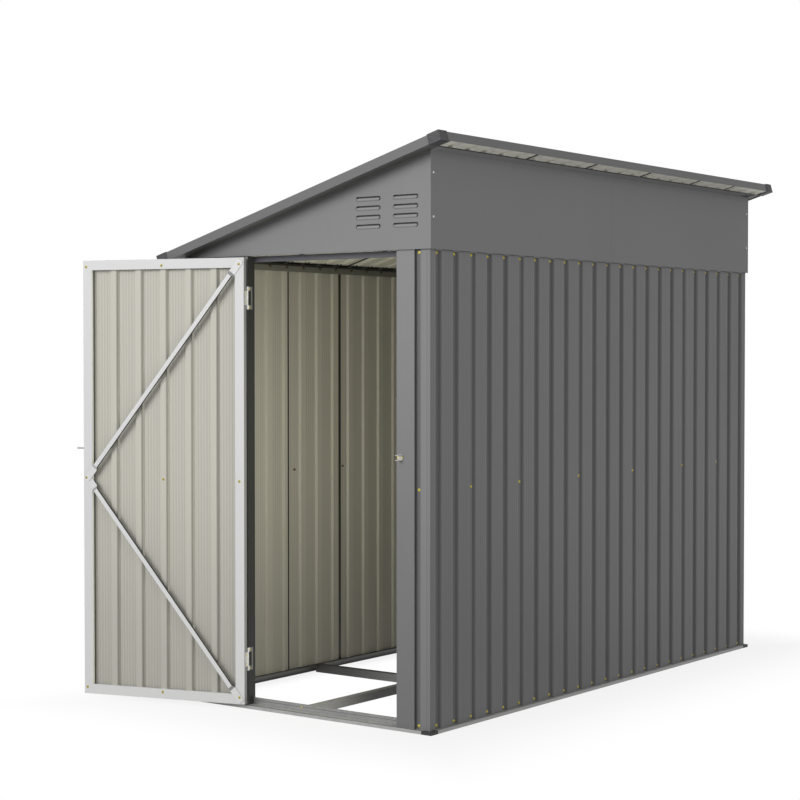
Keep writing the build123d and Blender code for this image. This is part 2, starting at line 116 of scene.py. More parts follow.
class ShedColours(bpy.types.PropertyGroup):
    """Colours of the shed's finishes, as linear values."""

    outside_grey: FloatVectorProperty(
        name="Outside grey", description="Paint on the weather side of the sheets",
        subtype="COLOR", size=3, min=0, max=1, default=(0.185, 0.185, 0.188))
    inside_cream: FloatVectorProperty(
        name="Inside cream", description="Backing coat on the inner side of the sheets",
        subtype="COLOR", size=3, min=0, max=1, default=(0.51, 0.494, 0.431))
    # The roof's cream backing, lightened with painted light for the light on the soffit.
    roof_lit_cream: FloatVectorProperty(
        name="Roof cream", description="Backing coat on the underside of the roof",
        subtype="COLOR", size=3, min=0, max=1, default=(0.88, 0.86, 0.75))
    trim_grey: FloatVectorProperty(
        name="Trim grey", description="Paint on the roof's edge trims",
        subtype="COLOR", size=3, min=0, max=1, default=(0.112, 0.112, 0.114))
    cap_grey: FloatVectorProperty(
        name="Cap grey", description="Moulded plastic of the roof's corner caps",
        subtype="COLOR", size=3, min=0, max=1, default=(0.046, 0.046, 0.05))
    foot_black: FloatVectorProperty(
        name="Foot black", description="Moulded plastic of the corner feet",
        subtype="COLOR", size=3, min=0, max=1, default=(0.012, 0.012, 0.012))
    zinc_grey: FloatVectorProperty(
        name="Zinc grey", description="Zinc coat of the base rails, joists and wall rails",
        subtype="COLOR", size=3, min=0, max=1, default=(0.35, 0.35, 0.343))
    # The wall rails' coat, darkened with painted shade for the shade they lie in under the roof.
    rail_shade_grey: FloatVectorProperty(
        name="Wall rail shade grey", description="Dark coat of the rails along the tops of the walls",
        subtype="COLOR", size=3, min=0, max=1, default=(0.19, 0.19, 0.165))
    # Painted shade: near-black on the sides of the doorway, which lie in shade beside the open door.
    reveal_shade: FloatVectorProperty(
        name="Reveal grey", description="Primer on the sides of the doorway",
        subtype="COLOR", size=3, min=0, max=1, default=(0.02, 0.02, 0.02))
    # The header's paint, darkened with painted shade for the gable's shadow it lies in.
    header_shade_grey: FloatVectorProperty(
        name="Header grey", description="Paint of the header over the doorway",
        subtype="COLOR", size=3, min=0, max=1, default=(0.09, 0.09, 0.108))
    frame_white: FloatVectorProperty(
        name="Door frame white", description="Pale coat of the door's stiles, rails and braces",
        subtype="COLOR", size=3, min=0, max=1, default=(0.587, 0.587, 0.587))
    hinge_zinc: FloatVectorProperty(
        name="Hinge zinc", description="Bright plate of the hinges and the latch",
        subtype="COLOR", size=3, min=0, max=1, default=(0.74, 0.74, 0.73))
    hasp_zinc: FloatVectorProperty(
        name="Hasp zinc", description="Dull plate of the door's hasp",
        subtype="COLOR", size=3, min=0, max=1, default=(0.32, 0.32, 0.32))
    screw_yellow: FloatVectorProperty(
        name="Screw yellow", description="Yellow passivated zinc of the sheet screws",
        subtype="COLOR", size=3, min=0, max=1, default=(0.72, 0.57, 0.05))
    screw_silver: FloatVectorProperty(
        name="Screw silver", description="Bright steel of the fascia screws",
        subtype="COLOR", size=3, min=0, max=1, default=(0.75, 0.75, 0.74))
    tip_brown: FloatVectorProperty(
        name="Tip brown", description="Points of the sheet screws on the inner side",
        subtype="COLOR", size=3, min=0, max=1, default=(0.12, 0.095, 0.04))


class ShedSizes(bpy.types.PropertyGroup):
    """Sizes of what is laid on the sheets."""

    groove_pitch: FloatProperty(
        name="Groove pitch", description="Distance between the grooves of the sheets",
        unit="LENGTH", default=0.1)
    groove_margin: FloatProperty(
        name="Groove margin", description="From a wall's end to its first groove",
        unit="LENGTH", default=0.048)
    groove_depth: FloatProperty(
        name="Groove depth", description="From the pans to the outer face of the groove floors",
        unit="LENGTH", default=0.009)
    sheet_gauge: FloatProperty(
        name="Sheet gauge", description="Thickness of the sheets", unit="LENGTH", default=0.0006)
    pan_rib_height: FloatProperty(
        name="Pan rib height", description="Height of the fine stiffening ribs in the pans",
        unit="LENGTH", default=0.0005)
    screw_radius: FloatProperty(
        name="Screw radius", description="Radius of a screw's washer", unit="LENGTH", default=0.005)
    screw_head: FloatProperty(
        name="Screw head", description="Height of a screw's head", unit="LENGTH", default=0.0036)
    top_row_drop: FloatProperty(
        name="Top row drop", description="From the wall's top to the upper row of screws",
        unit="LENGTH", default=0.011)
    foot_row_rise: FloatProperty(
        name="Foot row rise", description="From the wall's foot to the lower row of screws",
        unit="LENGTH", default=0.011)
    lip_height: FloatProperty(
        name="Lip height", description="Height of the zinc lip over each groove",
        unit="LENGTH", default=0.0026)
    groove_floor: FloatProperty(
        name="Groove floor", description="Width of a groove at its floor", unit="LENGTH", default=0.025)
    groove_mouth: FloatProperty(
        name="Groove mouth", description="Width of a groove at the pans", unit="LENGTH", default=0.035)
    lap_width: FloatProperty(
        name="Lap width", description="Width of a sheet's lap over its neighbour",
        unit="LENGTH", default=0.018)
    pan_step: FloatProperty(
        name="Pan step", description="From a seam of the low wall to the screw in the pan beside it",
        unit="LENGTH", default=0.0545)
    tip_length: FloatProperty(
        name="Tip length", description="How far a screw's point stands out inside",
        unit="LENGTH", default=0.008)
    flange_width: FloatProperty(
        name="Flange width", description="Width of the fascia's top flange under the roof",
        unit="LENGTH", default=0.036)
    lap_shadow: FloatProperty(
        name="Lap shadow", description="Half the width of the dark lap lines under the roof",
        unit="LENGTH", default=0.0105)
    spangle: FloatProperty(
        name="Spangle", description="Size of the crystals in the zinc coat", unit="LENGTH", default=0.014)


class ShedStage(bpy.types.PropertyGroup):
    """Camera, lamps and floor."""

    camera_place: FloatVectorProperty(
        name="Camera place", description="Where the camera stands", subtype="TRANSLATION",
        size=3, default=(4.0982, -6.1144, 1.2507))
    camera_turn: FloatVectorProperty(
        name="Camera turn", description="How the camera is turned", subtype="EULER",
        size=3, default=(math.radians(88.5816), 0.0, math.radians(36.5455)))
    camera_lens: FloatProperty(
        name="Camera lens", description="Focal length in millimetres", default=84.19)
    sky_strength: FloatProperty(
        name="Sky strength", description="Light of the plain white sky", default=0.40)
    key_power: FloatProperty(
        name="Key power", description="Power of the soft lamp at the front", unit="POWER", default=543.0)
    key_place: FloatVectorProperty(
        name="Key place", description="Where the soft lamp at the front hangs", subtype="TRANSLATION",
        size=3, default=(-1.6, -9.4, 4.1))
    key_size: FloatProperty(
        name="Key size", description="Width of the soft lamp at the front", unit="LENGTH", default=5.5)
    key_tall: FloatProperty(
        name="Key height", description="Height of the soft lamp at the front", unit="LENGTH", default=4.0)
    side_power: FloatProperty(
        name="Side power", description="Power of the soft lamp beside the high wall",
        unit="POWER", default=42.0)
    side_place: FloatVectorProperty(
        name="Side place", description="Where the soft lamp beside the high wall hangs",
        subtype="TRANSLATION", size=3, default=(4.5, -2.5, 2.0))
    side_size: FloatProperty(
        name="Side size", description="Side of the soft lamp beside the high wall",
        unit="LENGTH", default=2.5)
    inner_power: FloatProperty(
        name="Inner power", description="Power of the soft lamp inside, behind the front corner",
        unit="POWER", default=5.1)
    inner_place: FloatVectorProperty(
        name="Inner place", description="Where the inner lamp hangs", subtype="TRANSLATION",
        size=3, default=(0.46, -1.03, 0.85))
    inner_colour: FloatVectorProperty(
        name="Inner colour", description="Colour of the inner lamp", subtype="COLOR",
        size=3, min=0, max=1, default=(1.0, 0.98, 0.84))
    inner_size: FloatProperty(
        name="Inner size", description="Width of the inner lamp", unit="LENGTH", default=0.18)
    inner_tall: FloatProperty(
        name="Inner height", description="Height of the inner lamp", unit="LENGTH", default=1.2)
    floor_white: FloatVectorProperty(
        name="Floor white", description="Colour of the floor", subtype="COLOR",
        size=3, min=0, max=1, default=(0.52, 0.52, 0.52))
    floor_glow: FloatProperty(
        name="Floor glow", description="Share of plain white in the floor near the shed",
        subtype="FACTOR", min=0, max=1, default=0.86)


class Wire:
    """A socket in a material's nodes that can stand in a sum; a sum adds its Math nodes."""

    def __init__(self, tree, socket=None):
        self.tree = tree
        self.socket = socket

    def make(self, kind, settings=None, inputs=None, output=0):
        """Adds a node of that kind, applies its settings, fills its sockets and returns one output."""
        node = self.tree.nodes.new(kind)
        for name, value in (settings or {}).items():
            setattr(node, name, value)
        for key, value in (inputs or {}).items():
            if isinstance(value, Wire):
                self.tree.links.new(value.socket, node.inputs[key])
            else:
                node.inputs[key].default_value = value
        return Wire(self.tree, node.outputs[output]) if len(node.outputs) else None

    def maths(self, operation, *values):
        return self.make("ShaderNodeMath", {"operation": operation}, dict(enumerate(values)))

    def blend(self, share, first, second):
        """Colour between first and second."""
        sockets = {"Factor": share, 6: first, 7: second}
        return self.make("ShaderNodeMix", {"data_type": "RGBA"}, sockets, 2)

    def __add__(self, other):
        return self.maths("ADD", self, other)

    def __radd__(self, other):
        return self.maths("ADD", other, self)

    def __sub__(self, other):
        return self.maths("SUBTRACT", self, other)

    def __rsub__(self, other):
        return self.maths("SUBTRACT", other, self)

    def __mul__(self, other):
        return self.maths("MULTIPLY", self, other)

    def __rmul__(self, other):
        return self.maths("MULTIPLY", other, self)

    def __truediv__(self, other):
        return self.maths("DIVIDE", self, other)

    def __gt__(self, other):
        return self.maths("GREATER_THAN", self, other)

    def __lt__(self, other):
        return self.maths("LESS_THAN", self, other)

    def __abs__(self):
        return self.maths("ABSOLUTE", self)

    def most(self, other):
        """The larger of the two."""
        return self.maths("MAXIMUM", self, other)

    def fraction(self):
        """What is left above the next whole number below."""
        return self.maths("FRACT", self)

    def sign(self):
        return self.maths("SIGN", self)

    def ramp(self, low, high):
        """Rises smoothly from 0 at low to 1 at high."""
        settings = {"interpolation_type": "SMOOTHSTEP"}
        return self.make("ShaderNodeMapRange", settings, {"Value": self, "From Min": low, "From Max": high})


def new_finish(name):
    """Empty material and the start of its nodes."""
    material = bpy.data.materials.new(name)
    material.use_nodes = True
    material.node_tree.nodes.clear()
    return material, Wire(material.node_tree)


def close_finish(start, sockets):
    """Puts the sockets' values on one surface shader and on the material's output."""
    shader = start.make("ShaderNodeBsdfPrincipled", {}, sockets)
    start.make("ShaderNodeOutputMaterial", {}, {"Surface": shader})


def axes(start, output):
    """The three numbers of an output of the texture coordinates."""
    source = start.make("ShaderNodeTexCoord", {}, {}, output)
    parts = start.make("ShaderNodeSeparateXYZ", {}, {0: source})
    return source, [Wire(start.tree, out) for out in parts.socket.node.outputs]


def noise(start, place, scale, stretch=(1, 1, 1), detail=3.0):
    """Noise from 0 to 1 on the object's own coordinates."""
    mapped = start.make("ShaderNodeMapping", {}, {"Vector": place, "Scale": stretch})
    return start.make("ShaderNodeTexNoise", {}, {"Vector": mapped, "Scale": scale, "Detail": detail})


def shade(colour, factor):
    """The colour times a factor, opaque."""
    return tuple(min(1.0, c * factor) for c in colour) + (1.0,)


def stripes(line, places, half_width):
    """1 where the line's value is within half a width of one of the places."""
    bands = [abs(line - float(place)) < half_width for place in places]
    total = bands[0]
    for band in bands[1:]:
        total = total.most(band)
    return total


def skin_bump(start, height):
    """Bump of a skin whose height is in metres."""
    return start.make("ShaderNodeBump", {}, {"Strength": 1.0, "Distance": 1.0, "Height": height})


def uneven(start, place):
    """Clouds, upright streaks and their mix, for a coat that isn't quite even."""
    cloud = noise(start, place, 3.0)
    streak = noise(start, place, 40.0, (1, 1, 0.1), 2.0)
    return cloud, streak, cloud * 0.6 + streak * 0.4


# Sheet paint: how far the painted shade rises from the foot, shares of that painted shade and of the
# painted shade between the pan ribs, and the pan ribs' width and half their field as shares of the groove
# pitch.
foot_shade_height = 0.9
foot_shade_share = 0.26
rib_shade = 0.18
rib_width = 0.115
rib_field = (0.26, 0.30)


def sheet_finish(name, colours, sizes, outside, rib_place=None, painted_shade=None, lines=None, painted_light=None,
                 inner=None, painted_highlight=None):
    """Painted sheet: grey where the face is on the weather side, cream where it is on the inner side.

    outside takes the place and the normal as lists of three values and is 1 on the weather side.
    rib_place takes the place and is the run across the grooves, along which shade between the pan ribs is
    painted. painted_shade takes the place and is the share of painted shade in the grooves; the sheet also
    gets painted shade towards the foot.
    lines takes the place and the weather side and is the share of the laps' dark lines and of other painted
    shade. painted_light takes the place and is the share of a paler grey, painted light. inner is the coat
    on the inner side, and painted_highlight takes the place and the normal and is the share of a paler
    inner coat, a painted highlight.
    """
    material, start = new_finish(name)
    place, xyz = axes(start, "Object")
    normal = axes(start, "Normal")[1]
    weather = outside(xyz, normal)
    cloud = noise(start, place, 2.2)
    streak = noise(start, place, 14.0, (1, 1, 0.06), 2.0)
    grain = noise(start, place, 900.0, detail=1.0)
    tone = cloud * 0.6 + streak * 0.4
    grey = start.blend(tone, shade(colours.outside_grey, 0.94), shade(colours.outside_grey, 1.06))
    inner = inner or colours.inside_cream
    cream = start.blend(tone, shade(inner, 0.96), shade(inner, 1.04))
    # Painted highlight: a paler inner coat where the mask is set.
    if painted_highlight:
        cream = start.blend(painted_highlight(xyz, normal), cream, shade(inner, 1.5))
    paint = start.blend(weather, cream, grey)
    # Painted shade: darker towards the foot, and in the grooves where the mask is set.
    foot_and_groove_shade = (1 - xyz[2].ramp(wall_foot, wall_foot + foot_shade_height)) * (0.6 + 0.4 * streak) * foot_shade_share
    if painted_shade:
        foot_and_groove_shade = foot_and_groove_shade.most(painted_shade(xyz) * weather * (0.54 + 0.14 * streak))
    paint = start.blend(foot_and_groove_shade, paint, shade(colours.outside_grey, 0.35))
    height = grain * skin_grain
    if rib_place:
        off_middle = abs((rib_place(xyz) / sizes.groove_pitch).fraction() - 0.5)
        wave = start.maths("COSINE", off_middle * (2 * math.pi / rib_width))
        in_pan = 1 - off_middle.ramp(*rib_field)
        ridge = (wave * 0.5 + 0.5) * in_pan
        height = height + ridge * sizes.pan_rib_height
        # Painted shade between the pan ribs.
        paint = start.blend((1 - ridge) * in_pan * rib_shade, paint, shade(colours.outside_grey, 0.3))
    # Painted light: a paler grey on the weather side where the mask is set.
    if painted_light:
        paint = start.blend(painted_light(xyz) * weather, paint, shade(colours.outside_grey, 1.3))
    # Dark joint lines and painted shade from the lines function.
    if lines:
        paint = start.blend(lines(xyz, weather), paint, shade(colours.outside_grey, 0.06))
    close_finish(start, {"Base Color": paint, "Roughness": 0.44 + 0.14 * cloud,
                         "Normal": skin_bump(start, height), "IOR": 1.45})
    return material


def plain_paint(name, colour, rough, spread=0.06, shadow_above=None):
    """Coat of one paint with faint clouds and an orange-peel skin, and a painted shadow above a height if
    one is given.
    """
    material, start = new_finish(name)
    place, xyz = axes(start, "Object")
    cloud, _, tone = uneven(start, place)
    grain = noise(start, place, 700.0, detail=1.0)
    paint = start.blend(tone, shade(colour, 1 - spread), shade(colour, 1 + spread))
    # Painted shadow above the given height.
    if shadow_above:
        paint = start.blend((xyz[2] > shadow_above) * 0.9, paint, shade(colour, 0.08))
    close_finish(start, {"Base Color": paint, "Roughness": rough - 0.06 + 0.12 * cloud,
                         "Normal": skin_bump(start, grain * skin_grain)})
    return material


def faced_paint(name, face, edge, direction, rough, low=0.55, high=0.95, painted_shade=0.0, reach=9.0, bars=None,
                gloss=0.5):
    """Coat whose colour changes with the way a face looks: edge away from the direction, face along it.
    The edge colour is painted shade in most uses, and painted light on the free stile and the high trim's
    lip.

    painted_shade is the share of painted shade at the foot. The edge colour ends at the reach to the front
    and back. bars takes the place and is the share of dark lines of painted shade on the edge colour. gloss
    is the level of the shine.
    """
    material, start = new_finish(name)
    place, xyz = axes(start, "Object")
    normal = axes(start, "Normal")[1]
    along = sum((normal[i] * float(direction[i]) for i in (1, 2)), normal[0] * float(direction[0]))
    cloud, streak, tone = uneven(start, place)
    grain = noise(start, place, 700.0, detail=1.0)
    front = start.blend(tone, shade(face, 0.96), shade(face, 1.04))
    # Painted shade, darker towards the foot.
    foot = 1 - xyz[2].ramp(wall_foot, wall_head)
    front = start.blend(foot * (0.8 + 0.2 * streak) * painted_shade, front, shade(face, 0.4))
    rim = edge + (1.0,)
    if bars:
        rim = start.blend(bars(xyz), rim, shade(edge, 0.02))
    # Painted light and shade: the edge colour on the faces turned away from the direction.
    paint = start.blend(along.ramp(low, high).most(abs(xyz[1]) > reach), rim, front)
    close_finish(start, {"Base Color": paint, "Roughness": rough - 0.06 + 0.12 * cloud,
                         "Normal": skin_bump(start, grain * skin_grain), "Specular IOR Level": gloss})
    return material


def moulded_plastic(name, colour):
    """Plastic with a fine cast grain: small raised cells with dark valleys."""
    material, start = new_finish(name)
    place = axes(start, "Object")[0]
    cells = start.make("ShaderNodeTexVoronoi", {"feature": "F1"}, {"Vector": place, "Scale": 260.0})
    cloud = noise(start, place, 25.0)
    paint = start.blend(cells * 0.8 + cloud * 0.2, shade(colour, 1.7), shade(colour, 0.3))
    bump = start.make("ShaderNodeBump", {}, {"Strength": 0.6, "Distance": 0.0004, "Height": 1 - cells})
    close_finish(start, {"Base Color": paint, "Roughness": 0.5 + 0.2 * cloud, "Normal": bump})
    return material


def zinc_coat(name, colour, crystal, dark):
    """Hot-dip zinc: crystals of slightly different grey with a dull sheen.

    dark takes the place and the normal and is the share of painted shade.
    """
    material, start = new_finish(name)
    place, xyz = axes(start, "Object")
    cells = start.make("ShaderNodeTexVoronoi", {"feature": "F1"},
                       {"Vector": place, "Scale": 1 / crystal}, "Color")
    pick = start.make("ShaderNodeSeparateColor", {}, {0: cells})
    cloud = noise(start, place, 6.0)
    tone = pick * 0.55 + cloud * 0.45
    coat = start.blend(tone, shade(colour, 0.88), shade(colour, 1.1))
    # Painted shade, darkening the zinc almost to black.
    coat = start.blend(dark(xyz, axes(start, "Normal")[1]), coat, shade(colour, 0.03))
    grain = noise(start, place, 600.0, detail=1.0)
    close_finish(start, {"Base Color": coat, "Metallic": 0.35, "Roughness": 0.42 + 0.16 * pick,
                         "Normal": skin_bump(start, grain * skin_grain)})
    return material


def plated_steel(name, colour, metal, rough, recess=False, tint=None, dull=None):
    """Plated steel with drawn scratches; a screw also has the cross of its recess, painted dark as the
    shade in it, and is darker at the washer's edge, both read from its map.

    Behind the place dull, counted from front to back, the plate is darker with painted shade.
    """
    material, start = new_finish(name)
    place, xyz = axes(start, "Object")
    scratch = noise(start, place, 300.0, (1, 1, 0.15), 2.0)
    cloud = noise(start, place, 90.0, detail=2.0)
    plate = start.blend(scratch * 0.5 + cloud * 0.5, shade(colour, 0.85), shade(colour, 1.15))
    if tint:
        plate = start.blend(cloud.ramp(0.45, 0.75) * 0.5, plate, tint + (1.0,))
    # Painted shade on the plate behind the place dull.
    if dull:
        plate = start.blend((xyz[1] > dull) * 0.9, plate, shade(colour, 0.2))
    if recess:
        spot = start.make("ShaderNodeUVMap", {"uv_map": "head"})
        parts = start.make("ShaderNodeSeparateXYZ", {}, {0: spot}).socket.node.outputs
        u, v = abs(Wire(start.tree, parts[0])), abs(Wire(start.tree, parts[1]))
        near = u.most(v)
        bar_width, bar_length = 0.09, 0.38
        bars = ((u < bar_width) * (v < bar_length)).most((v < bar_width) * (u < bar_length))
        # Painted shade in the cross of the recess, then darker at the washer's edge.
        plate = start.blend(bars * 0.8, plate, shade(colour, 0.12))
        plate = start.blend((near > 0.9) * 0.25, plate, shade(colour, 0.4))
    bump = start.make("ShaderNodeBump", {}, {"Strength": 0.5, "Distance": 0.0002, "Height": scratch})
    close_finish(start, {"Base Color": plate, "Metallic": metal, "Roughness": rough + 0.15 * scratch,
                         "Normal": bump})
    return material


def dress(names, material):
    """Puts one material on whole nodes of the frame."""
    for name in names:
        slots = nodes[name].data.materials
        slots.clear()
        slots.append(material)


# Outlines of turned pieces from the top to the foot, as shares of the radius and of the height.
pan_head = ((0.30, 1.0), (0.50, 0.90), (0.60, 0.62), (0.63, 0.26), (0.95, 0.16), (1.0, 0.0))
drill_tip = ((0.06, 1.0), (0.55, 0.62), (0.80, 0.55), (0.80, 0.10), (1.0, 0.0))
rivet_dome = ((0.35, 1.0), (0.75, 0.74), (1.0, 0.0))


def turned(profile, radius, height, count=12):
    """Turned shape: rings of the profile's shares of radius and height, in equal steps about the axis."""
    share = np.array(profile)
    angle = np.arange(count) * 2 * math.pi / count
    ring_radius, ring_height = share[:, 0, None] * radius, share[:, 1, None] * height
    points = np.stack(np.broadcast_arrays(
        ring_radius * np.cos(angle), ring_radius * np.sin(angle), ring_height), -1).reshape(-1, 3)
    rings = len(share)
    ring, step = np.meshgrid(np.arange(rings - 1), np.arange(count), indexing="ij")
    after = (step + 1) % count
    quads = np.stack((ring * count + step, ring * count + count + step,
                      ring * count + count + after, ring * count + after), -1).reshape(-1, 4)
    top = np.arange(count)
    foot = (rings - 1) * count + np.arange(count)[::-1]
    return points, quads, (top, foot)


def frames_of(normals):
    """Two tangents square to each normal, with the normal as the third axis."""
    normals = normals / np.linalg.norm(normals, axis=1, keepdims=True)
    helper = np.where(np.abs(normals[:, 2:3]) > 0.9, (1.0, 0.0, 0.0), (0.0, 0.0, 1.0))
    first = np.cross(helper, normals)
    first /= np.linalg.norm(first, axis=1, keepdims=True)
    return np.stack((first, np.cross(normals, first), normals), 1)


def lay_piece(name, points, faces, material, body, uv=None):
    """Mesh object at the origin with its place in its mesh, riding on a body."""
    mesh = bpy.data.meshes.new(name)
    mesh.from_pydata(points.tolist(), [], faces)
    if uv is not None:
        corner = np.zeros(len(mesh.loops), np.int32)
        mesh.loops.foreach_get("vertex_index", corner)
        mesh.uv_layers.new(name="head").data.foreach_set("uv", uv[corner].astype(np.float32).ravel())
    mesh.materials.append(material)
    mesh.validate()
    piece = bpy.data.objects.new(name, mesh)
    bpy.context.scene.collection.objects.link(piece)
    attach(piece, body)
    return piece


def lay_screws(name, places, normals, radius, height, material, body, profile=pan_head):
    """One turned shape copied to every place, spun about its own axis by a drawn angle."""
    points, quads, ends = turned(profile, radius, height)
    places = np.asarray(places, float).reshape(-1, 3)
    normals = np.broadcast_to(np.asarray(normals, float), places.shape)
    turn = random.uniform(0, 2 * math.pi, len(places))
    basis = frames_of(normals)
    cosine, sine = np.cos(turn)[:, None], np.sin(turn)[:, None]
    first = basis[:, 0] * cosine + basis[:, 1] * sine
    second = basis[:, 1] * cosine - basis[:, 0] * sine
    spun = np.stack((first, second, basis[:, 2]), 1)
    placed = places[:, None] + np.einsum("kj,mji->mki", points, spun)
    shift = np.arange(len(places))[:, None, None] * len(points)
    sides = (quads[None] + shift).reshape(-1, 4).tolist()
    caps = [row for end in ends for row in (end[None] + shift[:, 0]).tolist()]
    uv = np.tile(points[:, :2] / radius, (len(places), 1))
    return lay_piece(name, placed.reshape(-1, 3), sides + caps, material, body, uv)


def carried(profile, path, across, up):
    """Closed profile of four points carried along a straight path.

    A point is its place on the path plus the profile's two shares times the two cross directions.
    """
    profile, path = np.asarray(profile, float), np.asarray(path, float)
    offset = profile[:, 0, None] * np.asarray(across, float) + profile[:, 1, None] * np.asarray(up, float)
    points = (path[:, None] + offset[None]).reshape(-1, 3)
    count = len(profile)
    row, column = np.meshgrid(np.arange(len(path) - 1), np.arange(count), indexing="ij")
    after = (column + 1) % count
    quads = np.stack((row * count + column, row * count + after,
                      (row + 1) * count + after, (row + 1) * count + column), -1).reshape(-1, 4)
    ends = np.stack((np.arange(count)[::-1], (len(path) - 1) * count + np.arange(count)))
    return points, np.concatenate((quads, ends))


def joined(parts):
    """Several arrays of points and of four-sided faces as one.

    Each part's faces are shifted past the points of the parts before it.
    """
    points, faces = zip(*parts)
    shift = np.cumsum([0] + [len(some) for some in points[:-1]])
    faces = np.concatenate([some + step for some, step in zip(faces, shift)])
    return np.concatenate(points), faces.tolist()


def uprights(profile, runs, low, high):
    """One profile carried up between two heights, at each run's place and in its two directions."""
    return joined([carried(profile, ((x, y, low), (x, y, high)), out, along) for x, y, out, along in runs])


def side_grooves(sizes):
    """Groove centres along the long walls."""
    span = -2 * wall_front - 2 * sizes.groove_margin
    count = round(span / sizes.groove_pitch) + 1
    return np.linspace(wall_front + sizes.groove_margin, -wall_front - sizes.groove_margin, count)


def end_grooves(sizes):
    """Groove centres along the back wall."""
    span = 2 * wall_side - 2 * sizes.groove_margin
    count = round(span / sizes.groove_pitch) + 1
    return np.linspace(-wall_side + sizes.groove_margin, wall_side - sizes.groove_margin, count)


def roof_laps(sizes):
    """Middles of the dark lap lines under the roof, beside the seam ribs and one near the back."""
    beside = 0.018
    return side_grooves(sizes)[[*roof_seams, -3]] - sizes.groove_mouth / 2 - beside


def under_roof(x):
    """Height of the roof's underside at a place across the shed."""
    return wall_head + (x - gable_low.x) * roof_rise


def on_leaf(along, depth, z):
    """Place on the door: along the leaf from the hinge, inward from the hinge's axis, and height."""
    along, depth, z = np.broadcast_arrays(*(np.asarray(v, float) for v in (along, depth, z)))
    flat = hinge_place * (1, 1, 0)
    return flat + along[..., None] * leaf_along + depth[..., None] * leaf_inward + z[..., None] * (0, 0, 1)


